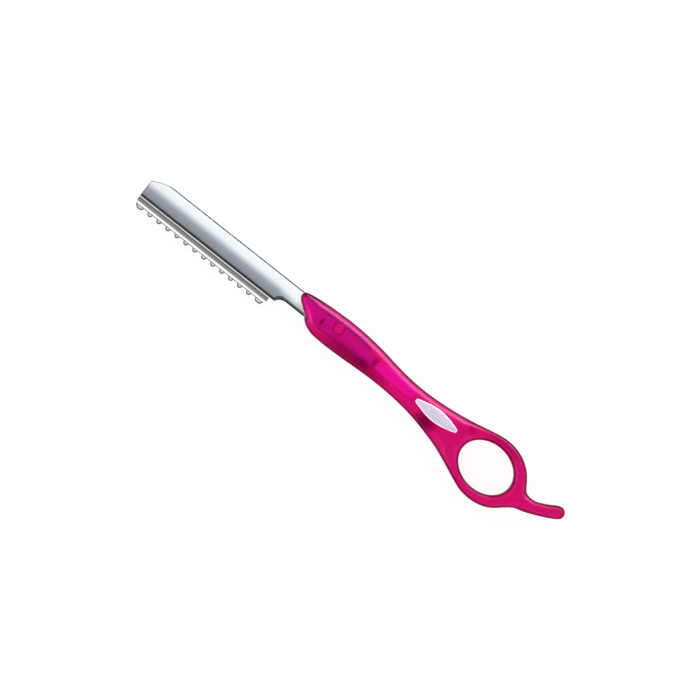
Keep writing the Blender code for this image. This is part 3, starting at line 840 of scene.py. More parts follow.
@dataclass(frozen=True)
class Holder:
    """The folded holder: one sheet whose sides are slightly crowned, with lips along its lower edge.

    Shades are painted shade for the sheet's dark reflections and shade: they run from 0, the plain polish, to
    1, the darkest.
    """

    sizes: HolderSizes = HolderSizes()
    station_step: float = 0.9 * MM
    tip_station_step: float = 0.2 * MM
    notch_steps: int = 36
    face_steps: int = 44
    round_steps: int = 5
    hole_steps: int = 64
    slot_steps: int = 13
    trim_steps: int = 30
    trim_span_share: tuple[float, float] = (-0.15, 1.12)
    overrun: float = 2.0 * MM
    smooth_angle: float = math.radians(28)
    # Painted shade: how dark the lips, fold lines, lower edges, spine and cut edges are painted in place of
    # their dark reflections, and how the tang's upper part is painted darker under the plastic.
    lip_shade: float = 0.93
    neck_lip_shade: float = 0.70
    crease_shade: float = 0.87
    edge_shade: float = 1.0
    spine_shade: float = 1.0
    tang_spine_shade: float = 0.35
    spine_width: float = 0.47 * MM
    tang_spine_width: float = 0.26 * MM
    spine_steepness: float = 6.0
    back_shade: float = 0.42
    back_width: float = 2.8 * MM
    cut_shade: float = 0.94
    cut_width: float = 0.40 * MM
    tang_fade: float = 1.2 * MM
    mouth_length: float = 5.2 * MM

    def stepped_line(self, x: np.ndarray, low: float, start: float, radius: float) -> np.ndarray:
        """A level line that steps up by the notch's rise from start, along an arc that ends level.

        Args:
            x: Places along the sheet.
            low: Height before the step.
            start: Where the step starts.
            radius: Radius of the arc.

        Returns:
            The line's height at each place.
        """
        rise = self.sizes.notch_rise
        run = math.sqrt(radius**2 - (radius - rise) ** 2)
        away = np.clip(start + run - x, 0, radius)
        arc = low + rise - radius + np.sqrt(radius**2 - away**2)
        return np.where(x <= start, low, arc)

    def stations(self) -> np.ndarray:
        """Places along the sheet, closer together along the tip and where the lips step up.

        Returns:
            Places, each once, in rising order.
        """
        s = self.sizes
        notch = s.notch_radius * (1 - np.cos(np.linspace(0, math.pi / 2, self.notch_steps)))
        even = np.linspace(0, s.tang_end_x, int(s.tang_end_x / self.station_step))
        tip = np.arange(0, s.trim_length, self.tip_station_step)
        every = (even, tip, s.jaw_length - s.crease_lead + notch, s.jaw_length + notch)
        return np.unique(np.concatenate(every).round(6))

    def trim_distance(self, x: np.ndarray, y: np.ndarray) -> np.ndarray:
        """How far points lie below the arc that trims the tip's upper corner.

        Args:
            x: Places along the sheet.
            y: Heights of the points.

        Returns:
            Distances below a parabola over the trim's chord, and the trim's length past its end.
        """
        s = self.sizes
        length = math.hypot(s.trim_length, s.trim_drop)
        along = (x * s.trim_length + (y - s.spine_y + s.trim_drop) * s.trim_drop) / length
        above = ((y - s.spine_y + s.trim_drop) * s.trim_length - x * s.trim_drop) / length
        bow = s.trim_bulge * (1 - (2 * np.clip(along / length, 0, 1) - 1) ** 2)
        return np.where(along < length, bow - above, s.trim_length)

    def half_thickness(
        self, y: np.ndarray, thickness: float, top: float, power: float | np.ndarray
    ) -> np.ndarray:
        """Half the thickness at a height, which is a superellipse about the crown's centre.

        It is the power root of one minus the power of the height's share of the way from centre to top.

        Args:
            y: Heights.
            thickness: The thickness at the centre.
            top: The height where the thickness is nil.
            power: How squarely the section ends.

        Returns:
            An array that broadcasts y and power.
        """
        centre = self.sizes.crown_centre_y
        share = np.clip(np.abs(y - centre) / (top - centre), 0, 1)
        return thickness / 2 * (1 - share**power) ** (1 / power)

    def face(self, x: np.ndarray, lip_y: np.ndarray, crease_y: np.ndarray) -> np.ndarray:
        """One side of the sheet from the fold line above the lip to the spine.

        From the neck on the fold is pressed closer, so the side leans in by the square of its height above
        the lip, and the tang is pressed flat up to its spine.

        Args:
            x: The stations, a column.
            lip_y: Height of the lip's edge at each station.
            crease_y: Height of the fold line at each station.

        Returns:
            Stations by rows by (y, z).
        """
        s = self.sizes
        y = crease_y + np.sin(np.linspace(0, math.pi / 2, self.face_steps)) * (s.spine_y - crease_y)
        flat = np.clip((x - s.handle_x) / s.tang_power_run, 0, 1)
        power = s.crown_power + flat * (s.tang_power - s.crown_power)
        start = s.jaw_length - s.tang_slope_lead
        lean = s.tang_slope * np.clip((x - start) / s.tang_slope_run, 0, 1)
        inwards = lean * (y - lip_y) ** 2 / (s.spine_y - lip_y) * np.clip((s.spine_y - y) / s.sheet, 0, 1)
        return stack(y, self.half_thickness(y, s.thickness, s.spine_y, power) - inwards)

    def lip(self, lip_y: np.ndarray, crease_y: np.ndarray, face_z: np.ndarray) -> np.ndarray:
        """The lip below the fold line: a rounded edge, a flat band, and the step out to the side.

        Args:
            lip_y: Height of the lip's edge at each station, a column.
            crease_y: Height of the fold line at each station.
            face_z: Where the side starts at each station.

        Returns:
            Stations by rows by (y, z).
        """
        s = self.sizes
        rise_share = (lip_y - s.lip_y) / s.notch_rise
        turn = np.linspace(math.pi / 2, 0, self.round_steps)
        low_z = face_z - s.lip_drop - rise_share * (s.neck_lip_drop - s.lip_drop)
        round_y = lip_y + s.lip_round * (1 - np.sin(turn))
        round_z = low_z - s.lip_round * (1 - np.cos(turn))
        low_band, high_band = np.array(s.notch_band_shares), np.array(s.neck_band_shares)
        band_shares = low_band + rise_share**s.band_power * (high_band - low_band)
        band_y = lip_y + (crease_y - lip_y) * band_shares
        step_y = crease_y - s.crease_step * np.array(s.step_drop_shares)
        step_z = face_z - s.crease_step * np.array(s.step_depth_shares)
        up_share = (band_y - round_y[:, -1:]) / (step_y[:, :1] - round_y[:, -1:])
        band_z = low_z + up_share * (step_z[:, :1] - low_z)
        y = np.concatenate((round_y, band_y, step_y), axis=1)
        return stack(y, np.concatenate((round_z, band_z, step_z), axis=1))

    def inside(self, outer: np.ndarray, lip_y: np.ndarray, crease_y: np.ndarray) -> np.ndarray:
        """The sheet's inner face, point for point behind the outer one.

        Heights are squeezed towards the lip so that the face ends one sheet below the spine.

        Args:
            outer: The outer face, stations by rows by (y, z).
            lip_y: Height of the lip's edge at each station, a column.
            crease_y: Height of the fold line at each station.

        Returns:
            An array like outer.
        """
        s = self.sizes
        top = s.spine_y - s.sheet
        squeezed = lip_y + (outer[..., 0] - lip_y) * ((top - lip_y) / (s.spine_y - lip_y))
        y = np.minimum(outer[..., 0], squeezed)
        z = self.half_thickness(y, s.thickness - 2 * s.sheet, top, s.inner_power)
        lip_share = np.clip((y - lip_y) / (crease_y - lip_y), 0, 1)
        z = np.minimum(z, s.lip_inner_half + lip_share * (z - s.lip_inner_half))
        return stack(y, np.minimum(z, np.maximum(outer[..., 1] - s.least_sheet, 0)))

    def shade(self, x: np.ndarray, y: np.ndarray) -> np.ndarray:
        """How dark the sheet is painted, in place of its dark reflections and shade: its lips and fold lines,
        its cut edges, its spine and the tang's upper part.

        Args:
            x: The stations, a column.
            y: Heights of the points, stations by rows over both sides.

        Returns:
            Shades from 0 to 1, an array like y.
        """
        s = self.sizes
        edge = self.round_steps + 1
        lip = edge + len(s.notch_band_shares)
        crease = lip + len(s.step_drop_shares)
        # Painted shade on the lips, lower edges and fold lines, in place of their dark reflections.
        neck = np.clip((x - s.jaw_length) / s.crease_lead, 0, 1)
        shade = np.zeros(y.shape)
        for low, high, jaw_shade, neck_shade in (
            (0, edge, self.lip_shade, self.edge_shade),
            (edge, lip, self.lip_shade, self.neck_lip_shade),
            (lip, crease, self.crease_shade, self.crease_shade),
        ):
            shade[:, np.r_[low:high, -high:-low]] = jaw_shade + neck * (neck_shade - jaw_shade)
        # Painted shade along the tip's cut edges and its end.
        cut_edge = np.minimum(self.trim_distance(x, y), x)
        shade = np.maximum(shade, self.cut_shade * np.clip(1 - cut_edge / self.cut_width, 0, 1))
        shade *= 1 - np.clip((x - s.handle_x - self.mouth_length) / self.tang_fade, 0, 1)
        inside = np.clip((x - s.handle_x) / self.tang_fade, 0, 1)
        # Painted shade that dims the tang's upper part, whose reflection shows through the plastic.
        back = self.back_shade * np.clip((y - s.spine_y) / self.back_width + 1, 0, 1)
        # Painted dark line along the spine, in place of the dark reflection of its rounded fold.
        width = self.spine_width + inside * (self.tang_spine_width - self.spine_width)
        spine = self.spine_shade + inside * (self.tang_spine_shade - self.spine_shade)
        line = np.clip(self.spine_steepness * ((y - s.spine_y) / width + 1), 0, 1)
        return np.maximum(np.maximum(shade, inside * back), spine * line)

    def build(self, bench: Bench) -> bpy.types.Object:
        """Carries the section along the sheet, then trims the tip and cuts the tang.

        Args:
            bench: Where the razor lies in the frame.

        Returns:
            The cover's object.
        """
        s = self.sizes
        x = self.stations()[:, None]
        lips = self.stepped_line(x, s.lip_y, s.jaw_length, s.notch_radius)
        lips = lips - s.neck_sag * (lips - s.lip_y) / s.notch_rise
        creases = self.stepped_line(x, s.lip_y + s.lip_height, s.jaw_length - s.crease_lead, s.crease_radius)
        face = self.face(x, lips, creases)
        outer = np.concatenate((self.lip(lips, creases, face[:, :1, 1]), face), axis=1)
        across = []
        for half in (outer, self.inside(outer, lips, creases)):
            front = stack(x, half[..., 0], half[..., 1])
            rear = front[:, -2::-1] * np.array((1, 1, -1))
            across.append(np.concatenate((front, rear), axis=1))
        skin = Skin()
        add_shell(skin, *across, stack(self.shade(x, across[0][..., 1]), x))
        cover = skin.build("holder_cover_sheet", bench)
        cut(cover, [self.tip_trimmer(bench), *self.tang_cutters(bench)])
        smooth(cover, self.smooth_angle)
        return cover

    def dress(self, bench: Bench) -> None:
        """Builds the cover and fits it in polished steel."""
        fit(self.build(bench), HOLDER_STEEL.build(), Slot.POLISHED, Body.HANDLE, "holder_cover")

    def tip_trimmer(self, bench: Bench) -> bpy.types.Object:
        """What is cut off the tip's upper corner: all above an arc that bulges outwards.

        Args:
            bench: Where the razor lies in the frame.

        Returns:
            The cutter.
        """
        s = self.sizes
        start = np.array((0, s.spine_y - s.trim_drop))
        chord = np.array((s.trim_length, s.trim_drop))
        share = np.linspace(*self.trim_span_share, self.trim_steps)
        half = np.hypot(*chord) / 2
        along = chord / (2 * half)
        left = np.array((-along[1], along[0]))
        bow = s.trim_bulge * (1 - (2 * share - 1) ** 2)
        line = start + np.outer(share, chord) + np.outer(bow, left)
        above = s.spine_y + 2 * self.overrun
        corner = np.array(((line[-1, 0], above), (-2 * self.overrun, above), (-2 * self.overrun, line[0, 1])))
        return prism("tip_trimmer", np.concatenate((line, corner)), -s.thickness, s.thickness, bench)

    def tang_cutters(self, bench: Bench) -> list[bpy.types.Object]:
        """The tang's end corner, its slot and its two holes.

        Args:
            bench: Where the razor lies in the frame.

        Returns:
            The cutters.
        """
        s = self.sizes
        slope = s.tang_cut_drop / s.tang_cut_length
        run = self.overrun
        corner = np.array((
            (s.tang_end_x + run, s.spine_y - s.tang_cut_drop - slope * run),
            (s.tang_end_x + run, s.spine_y + run),
            (s.tang_end_x - s.tang_cut_length - run / slope, s.spine_y + run),
        ))
        slot_x = s.handle_x + s.slot_reach
        half = s.slot_width / 2
        slot_top = s.neck_y + s.slot_height - half
        turn = np.linspace(0, math.pi, self.slot_steps)
        slot = np.concatenate((
            np.array(((slot_x - half, s.neck_y - run), (slot_x + half, s.neck_y - run))),
            np.column_stack((slot_x + half * np.cos(turn), slot_top + half * np.sin(turn))),
        ))
        loops = {"corner_cutter": corner, "slot_cutter": slot}
        for name, hole in (("main_drill", s.main_hole), ("small_drill", s.small_hole)):
            loops[name] = disc(s.hole_place(hole), hole[2], self.hole_steps)
        return [prism(name, loop, -s.thickness, s.thickness, bench) for name, loop in loops.items()]


@dataclass(frozen=True)
class CorePlate:
    """The plate inside the fold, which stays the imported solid."""

    node: str = "core_plate"

    def dress(self) -> None:
        """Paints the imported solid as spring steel."""
        paint(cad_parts[self.node], CORE_STEEL.build())
        LOG.info("%s: the packed solid", self.node)


@dataclass(frozen=True)
class Shoulder:
    """How a face of the handle rounds off into its side wall.

    Its width is at most the given one and at most a share of the widest disc that fits there. The power is
    that of its drop, and the tilt is where it meets the wall.
    """

    width: float
    disc_share: float
    power: float
    tilt: float


@dataclass(frozen=True)
class ShadeOval:
    """An oval of painted shade, a deeper tint in place of a shadow or a darker patch: centre, half length,
    half height, strength.
    """

    x: float
    y: float
    half_length: float
    half_height: float
    strength: float

    def at(self, points: np.ndarray) -> np.ndarray:
        """Its strength at points, times one minus the square of their share of the way from its centre.

        Args:
            points: An array of x, y.

        Returns:
            Strengths from 0 to 1.
        """
        x = (points[:, 0] - self.x) / self.half_length
        y = (points[:, 1] - self.y) / self.half_height
        return np.clip(self.strength * (1 - x**2 - y**2), 0, 1)


@dataclass(frozen=True)
class HandleSizes:
    """Sizes of the handle's outline, section and pocket."""

    thickness: float = 7.0 * MM
    grip_length: float = 81.4 * MM
    wall_above: float = 2.2 * MM
    wall_below: float = 3.9 * MM
    hole_length: float = 23.7 * MM
    hole_height: float = 18.6 * MM
    rim_side: float = 4.1 * MM
    rim_end: float = 4.5 * MM
    ring_shift: float = 1.1 * MM
    ring_tilt: float = math.radians(-6.5)
    tail_length: float = 17.6 * MM
    tail_width: float = 5.1 * MM
    tail_rise: float = 3.6 * MM
    front_shoulder: Shoulder = Shoulder(3.2 * MM, 0.62, 1.45, math.radians(44))
    rear_shoulder: Shoulder = Shoulder(1.2 * MM, 0.40, 1.8, math.radians(44))
    wall_steps: int = 3
    crown_share: float = 0.07
    pocket_gap: float = 0.15 * MM
    pocket_end_room: float = 0.4 * MM
    pin_gap: float = 0.16 * MM
    sink_margin: float = 0.48 * MM
    sink_half: float = 1.2 * MM
    # Painted shade along the outline, in place of the dark edge that refraction gives: its width and how
    # steeply it reaches full strength.
    rim_width: float = 1.20 * MM
    rim_shade_strength: float = 2.0
    core_lead: float = 1.7 * MM
    core_length: float = 19.0 * MM
    core_height: float = 4.1 * MM
    core_y: float = 4.95 * MM
    core_half: float = 2.1 * MM
    # Ovals of painted shade: the label's shadow below it, the tang's shadow below it and towards its end, and
    # darker patches at the slot, at the pocket's end, at the ring's root and along the ring's top.
    shade_ovals: tuple[ShadeOval, ...] = (
        ShadeOval(139.8 * MM, -0.6 * MM, 5.8 * MM, 3.9 * MM, 0.85),
        ShadeOval(156.4 * MM, 7.9 * MM, 2.4 * MM, 1.7 * MM, 0.35),
        ShadeOval(104.0 * MM, 1.0 * MM, 20.0 * MM, 3.4 * MM, 0.70),
        ShadeOval(110.8 * MM, 4.9 * MM, 1.5 * MM, 2.9 * MM, 0.6),
        ShadeOval(107.0 * MM, 2.0 * MM, 6.0 * MM, 2.2 * MM, 0.85),
        ShadeOval(85.0 * MM, 5.0 * MM, 0.8 * MM, 2.3 * MM, 0.7),
        ShadeOval(172.0 * MM, 11.4 * MM, 13.0 * MM, 2.4 * MM, 0.30),
    )


@dataclass(frozen=True)
class Handle:
    """The translucent handle: grip, finger ring and hooked tail in one body, with a pocket for the tang.

    The outline's shares run along by grip lengths from the handle's front and across by grip heights from
    the grip's centre line. The ring's are parameter angles of its outer ellipse. The tail's run along by tail
    lengths, across by tail rises, and then give the local width by tail widths.
    """

    holder: HolderSizes = HolderSizes()
    sizes: HandleSizes = HandleSizes()
    grip_top_shares: tuple[tuple[float, float], ...] = (
        (0.000, 0.230), (0.006, 0.342), (0.060, 0.423), (0.150, 0.476), (0.250, 0.500), (0.335, 0.490),
        (0.410, 0.456), (0.480, 0.407), (0.553, 0.338), (0.628, 0.280), (0.704, 0.249), (0.775, 0.250),
        (0.855, 0.282), (0.931, 0.334), (1.010, 0.412),
    )
    grip_bottom_shares: tuple[tuple[float, float], ...] = (
        (0.006, 0.131), (0.042, -0.047), (0.070, -0.215), (0.100, -0.372), (0.150, -0.477), (0.210, -0.499),
        (0.300, -0.495), (0.401, -0.463), (0.515, -0.440), (0.628, -0.461), (0.704, -0.503), (0.780, -0.574),
        (0.855, -0.678), (0.931, -0.805), (1.007, -0.977),
    )
    ring_top_degrees: tuple[float, ...] = (112, 96, 80, 64, 48, 34)
    ring_bottom_degrees: tuple[float, ...] = (-50, -66, -82, -98, -114)
    root_top_share: tuple[float, float] = (0.035, 0.175)
    root_bottom_share: tuple[float, float] = (0.010, -0.430)
    tail_shares: tuple[tuple[float, float, float], ...] = (
        (0.182, -0.42, 1.22), (0.356, -0.24, 1.02), (0.532, 0.12, 0.98), (0.709, 0.57, 1.00),
    )
    tail_tip_steps: int = 5
    outline_steps: int = 8
    hole_steps: int = 240
    pin_steps: int = 48
    core_steps: int = 25
    columns: tuple[int, int, int] = (190, 120, 70)
    rows: int = 30
    smoothing_rounds: int = 16
    least_reach: float = 0.001 * MM
    batches: int = 60
    smooth_angle: float = math.radians(35)

    @property
    def ring_half(self) -> tuple[float, float]:
        """Outer half length and half height of the finger ring."""
        s = self.sizes
        return (s.hole_length / 2 + s.rim_end, s.hole_height / 2 + s.rim_side)

    @property
    def ring_x(self) -> float:
        """Centre of the finger ring."""
        return self.holder.handle_x + self.sizes.grip_length + self.ring_half[0]

    @property
    def length(self) -> float:
        """The razor's overall length."""
        return self.ring_x + self.ring_half[0] + self.sizes.tail_length

    def tilted_ellipse(self, x: float, half: tuple[float, float], turns: np.ndarray) -> np.ndarray:
        """Points of an ellipse on the ring's centre line, tilted as the ring is.

        Args:
            x: Where its centre lies.
            half: Its half length and half height.
            turns: Parameter angles.

        Returns:
            An array of x, y.
        """
        tilt = self.sizes.ring_tilt
        along = half[0] * np.cos(turns)
        across = half[1] * np.sin(turns)
        turned = along * math.cos(tilt) - across * math.sin(tilt)
        return np.column_stack((x + turned, along * math.sin(tilt) + across * math.cos(tilt)))

    def outline(self) -> np.ndarray:
        """The handle seen from the front, anticlockwise from its front tip.

        Returns:
            An array of x, y.
        """
        s = self.sizes
        height = self.holder.height - self.holder.notch_rise + s.wall_above + s.wall_below
        middle = self.holder.neck_y - s.wall_below + height / 2
        size = np.array((s.grip_length, height))
        start = np.array((self.holder.handle_x, middle))
        top = start + np.array(self.grip_top_shares) * size
        bottom = start + np.array(self.grip_bottom_shares) * size
        ring_top = self.tilted_ellipse(self.ring_x, self.ring_half, np.radians(self.ring_top_degrees))
        ring_bottom = self.tilted_ellipse(self.ring_x, self.ring_half, np.radians(self.ring_bottom_degrees))
        ring_end = self.ring_x + self.ring_half[0]
        root_size = np.array((s.tail_length, self.ring_half[1]))
        root_top, root_bottom = (
            np.array((ring_end, 0)) + np.array(share) * root_size
            for share in (self.root_top_share, self.root_bottom_share)
        )
        shares = np.array(self.tail_shares)
        line = np.array((ring_end, 0)) + shares[:, :2] * np.array((s.tail_length, s.tail_rise))
        line = np.vstack((line, (self.length - s.tail_width / 2, s.tail_rise)))
        steps = np.gradient(line, axis=0)
        normals = np.column_stack((-steps[:, 1], steps[:, 0])) / np.hypot(*steps.T)[:, None]
        reach = normals[:-1] * shares[:, 2:] * s.tail_width / 2
        heading = math.atan2(normals[-1, 1], normals[-1, 0])
        turns = np.linspace(heading, heading - math.pi, self.tail_tip_steps + 1)
        tip = line[-1] + s.tail_width / 2 * np.column_stack((np.cos(turns), np.sin(turns)))
        upper = (top, ring_top, root_top[None], line[:-1] + reach, tip)
        lower = ((line[:-1] - reach)[::-1], root_bottom[None], ring_bottom, bottom[::-1])
        return closed_spline(np.concatenate((*upper, *lower))[::-1], self.outline_steps)

    def finger_hole(self) -> np.ndarray:
        """The finger hole, clockwise, so that the plastic is on its left.

        Returns:
            An array of x, y.
        """
        s = self.sizes
        turns = -np.arange(self.hole_steps) * 2 * math.pi / self.hole_steps
        half = (s.hole_length / 2, s.hole_height / 2)
        return self.tilted_ellipse(self.ring_x - s.ring_shift, half, turns)

    def inscribed_radius(self, loops: list[np.ndarray]) -> np.ndarray:
        """The radius of the widest disc that touches each point of the outline and the hole from inside.

        The disc passes through another point of the two, and its radius is the squared distance between
        them over twice that distance's share along the normal. The radii are then evened out.

        Args:
            loops: The outline and the finger hole.

        Returns:
            A radius for each point of both.
        """
        every = np.concatenate(loops)
        found = []
        for loop in loops:
            normal = inward(loop)
            apart = every[None] - loop[:, None]
            along = (apart * normal[:, None]).sum(axis=2)
            square = (apart**2).sum(axis=2)
            reach = np.maximum(2 * along, self.least_reach)
            radius = np.where(along > self.least_reach, square / reach, self.length).min(axis=1)
            for _ in range(self.smoothing_rounds):
                radius = np.minimum(radius, (np.roll(radius, 1) + radius + np.roll(radius, -1)) / 3)
            found.append(radius)
        return np.concatenate(found)

    def to_rim(self, points: np.ndarray, loops: list[np.ndarray]) -> tuple[np.ndarray, np.ndarray]:
        """Each point's distance to the nearest loop, and the radius of the widest disc that touches it there.

        The distance is that to the nearest point of any of the loops' straight steps.

        Args:
            points: An array of x, y.
            loops: The outline and the finger hole.

        Returns:
            The distances and the radii.
        """
        radius = self.inscribed_radius(loops)
        start = np.concatenate(loops)
        step = np.concatenate([np.roll(loop, -1, axis=0) for loop in loops]) - start
        radius_after = np.concatenate([np.roll(part, -1) for part in np.split(radius, [len(loops[0])])])
        square = (step**2).sum(axis=1)
        distances, radii = [], []
        for part in np.array_split(points, self.batches):
            apart = part[:, None] - start[None]
            share = np.clip((apart * step).sum(axis=2) / square, 0, 1)
            away = np.hypot(*np.moveaxis(apart - share[..., None] * step, 2, 0))
            nearest = away.argmin(axis=1)
            one = np.arange(len(part))
            distances.append(away[one, nearest])
            at = share[one, nearest]
            radii.append(radius[nearest] * (1 - at) + radius_after[nearest] * at)
        return np.concatenate(distances), np.concatenate(radii)

    def height(
        self, points: np.ndarray, loops: list[np.ndarray]
    ) -> tuple[dict[Side, np.ndarray], np.ndarray]:
        """Height of both faces over points of the outline's plane.

        Each is a slight crown less the drop of a shoulder, and ends in a plain side wall. The crown falls off
        by the square of the share of the way from the middle line. The drop is a power of the share that is
        left of the shoulder's width, and has the same tilt at the wall everywhere.

        Args:
            points: An array of x, y.
            loops: The outline and the finger hole.

        Returns:
            Each face's heights, and how much painted shade each point has along the rim or in a shade oval,
            from 0 to 1.
        """
        s = self.sizes
        distance, radius = self.to_rim(points, loops)
        crown = s.thickness / 2 * (1 - s.crown_share * (1 - np.clip(distance / radius, 0, 1)) ** 2)
        heights = {}
        for side, shoulder in ((Side.FRONT, s.front_shoulder), (Side.REAR, s.rear_shoulder)):
            width = np.minimum(shoulder.width, shoulder.disc_share * radius)
            left = 1 - np.clip(distance / width, 0, 1)
            heights[side] = crown - math.tan(shoulder.tilt) * width / shoulder.power * left**shoulder.power
        # Painted shade along the outline, in place of the plastic's dark edge, and in the ovals of painted
        # shadow.
        rim = np.clip(s.rim_shade_strength * (1 - distance / s.rim_width), 0, 1)
        for shade_oval in s.shade_ovals:
            rim = np.maximum(rim, shade_oval.at(points))
        return heights, rim

    def strands(self) -> tuple[list[np.ndarray], list[np.ndarray], np.ndarray]:
        """The handle's plane in two grids, above and below its middle line and the finger hole.

        Each column is one x. Its points run from the outline to the middle line, or to the hole where the
        column meets it, and crowd towards both. Columns crowd towards the ends and the hole's ends.

        Returns:
            The two grids, rows by columns by (x, y), the two loops, and which columns meet the hole.
        """
        outline, hole = self.outline(), self.finger_hole()
        tip, end = outline[:, 0].argmin(), outline[:, 0].argmax()
        turned = np.roll(outline, -tip, axis=0)
        split = (end - tip) % len(outline)
        lower = turned[: split + 1]
        upper = np.vstack((turned[split:], turned[:1]))[::-1]
        left, right = hole[:, 0].argmin(), hole[:, 0].argmax()
        turned_hole = np.roll(hole, -left, axis=0)
        half = (right - left) % len(hole)
        hole_top = turned_hole[: half + 1]
        hole_bottom = np.vstack((turned_hole[half:], turned_hole[:1]))[::-1]
        if hole_top[half // 2, 1] < hole_bottom[half // 2, 1]:
            hole_top, hole_bottom = hole_bottom, hole_top
        bounds = (upper[0, 0], hole_top[0, 0], hole_top[-1, 0], upper[-1, 0])
        spans = [eased_steps(a, b, n) for a, b, n in zip(bounds, bounds[1:], self.columns)]
        x = np.concatenate((spans[0], spans[1][1:], spans[2][1:]))
        tops = np.interp(x, upper[:, 0], upper[:, 1])
        bottoms = np.interp(x, lower[:, 0], lower[:, 1])

        def share_at(place: np.ndarray) -> float:
            """Share of the way from the lower to the upper outline at a point.

            Args:
                place: The point's x and y.

            Returns:
                The share.
            """
            low = np.interp(place[0], lower[:, 0], lower[:, 1])
            high = np.interp(place[0], upper[:, 0], upper[:, 1])
            return float((place[1] - low) / (high - low))

        shares = np.interp(x, bounds, (0.5, share_at(hole_top[0]), share_at(hole_top[-1]), 0.5))
        middle = bottoms + shares * (tops - bottoms)
        in_hole = (x > bounds[1]) & (x < bounds[2])
        grids = []
        for edge, rim in ((tops, hole_top), (bottoms, hole_bottom)):
            inner = np.where(in_hole, np.interp(x, rim[:, 0], rim[:, 1]), middle)
            share = eased_steps(0, 1, self.rows)[:, None]
            y = edge + share * (inner - edge)
            grids.append(stack(x, y))
        held = (x >= bounds[1]) & (x <= bounds[2])
        return grids, [outline, hole], held

    def build(self, bench: Bench, label_form: bpy.types.Object) -> bpy.types.Object:
        """Raises both faces over the plane, joins them by side walls, then cuts pocket, hollows and recess.

        Args:
            bench: Where the razor lies in the frame.
            label_form: What the label's recess is cut with.

        Returns:
            The handle's object.
        """
        s = self.sizes
        grids, loops, held = self.strands()
        skin = Skin()
        for grid in grids:
            rows, columns = grid.shape[:2]
            heights, rim = self.height(grid.reshape(-1, 2), loops)
            # The first mark is painted shade along the rim and in the shade ovals.
            marks = stack(rim.reshape(rows, columns), grid[..., 0])
            levels = {side: side.value * height.reshape(rows, columns) for side, height in heights.items()}
            for level in levels.values():
                skin.add(stack(grid[..., 0], grid[..., 1], level), grid_quads(rows, columns), marks)
            for row, kept in ((0, np.ones(columns, bool)), (-1, held)):
                line, low, high = grid[row, kept], levels[Side.REAR][row, kept], levels[Side.FRONT][row, kept]
                wall = stack(line[:, 0], line[:, 1], np.linspace(low, high, s.wall_steps))
                wall_marks = np.broadcast_to(marks[row, kept], (*wall.shape[:2], 2))
                skin.add(wall, grid_quads(*wall.shape[:2]), wall_marks)
        body = skin.build("handle_body", bench)
        cut(body, [self.pocket_cutter(bench), self.core_cutter(bench), self.sink_cutter(bench), label_form])
        smooth(body, self.smooth_angle)
        return body

    def dress(self, bench: Bench, label: Label) -> None:
        """Builds the handle with the label's recess, and fits it in clear plastic for both halves."""
        body = self.build(bench, label.form(bench))
        fit(body, HANDLE_PLASTIC.build(), Slot.PLASTIC, Body.HANDLE, "handle_front_half", "handle_rear_half")

    def pocket_cutter(self, bench: Bench) -> bpy.types.Object:
        """The room for the tang, with the pins that pass through its holes left standing.

        Args:
            bench: Where the razor lies in the frame.

        Returns:
            The cutter.
        """
        s, h = self.sizes, self.holder
        start = h.handle_x - h.neck_length
        gap = s.pocket_gap
        end = h.tang_end_x + s.pocket_end_room
        loop = np.array((
            (start, h.neck_y - gap),
            (end, h.neck_y - gap),
            (end, h.spine_y - h.tang_cut_drop + gap),
            (h.tang_end_x - h.tang_cut_length + gap, h.spine_y + gap),
            (start, h.spine_y + gap),
        ))
        depth = h.thickness / 2 + gap
        pocket = prism("pocket_cutter", loop, -depth, depth, bench)
        slot_x = h.handle_x + h.slot_reach
        half = h.slot_width / 2 - s.pin_gap
        low, high = h.neck_y - 2 * h.sheet, h.neck_y + h.slot_height - s.pin_gap
        left, right = slot_x - half, slot_x + half
        key = np.array(((left, low), (right, low), (right, high), (left, high)))
        pins = [prism("slot_key_form", key, -s.thickness, s.thickness, bench)]
        for name, hole in (("main_pin_form", h.main_hole), ("small_pin_form", h.small_hole)):
            ring = disc(h.hole_place(hole), hole[2] - 2 * s.pin_gap, self.pin_steps)
            pins.append(prism(name, ring, -s.thickness, s.thickness, bench))
        cut(pocket, pins)
        return pocket

    def sink_cutter(self, bench: Bench) -> bpy.types.Object:
        """The sink left inside the main pin, where the thick plastic shrank as it cooled.

        Args:
            bench: Where the razor lies in the frame.

        Returns:
            The cutter.
        """
        s, h = self.sizes, self.holder
        ring = disc(h.hole_place(h.main_hole), h.main_hole[2] - 2 * s.sink_margin, self.pin_steps)
        return prism("sink_cutter", ring, -s.sink_half, s.sink_half, bench)

    def core_cutter(self, bench: Bench) -> bpy.types.Object:
        """The hollow that lightens the grip behind the pocket: a flat room with round ends.

        Args:
            bench: Where the razor lies in the frame.

        Returns:
            The cutter.
        """
        s = self.sizes
        middle = self.holder.tang_end_x + s.core_lead + s.core_length / 2
        radius = s.core_height / 2
        turn = np.linspace(-math.pi / 2, math.pi / 2, self.core_steps)
        end = np.column_stack((s.core_length / 2 - radius + radius * np.cos(turn), radius * np.sin(turn)))
        loop = np.concatenate((end, -end)) + np.array((middle, s.core_y))
        return prism("core_cutter", loop, -s.core_half, s.core_half, bench)


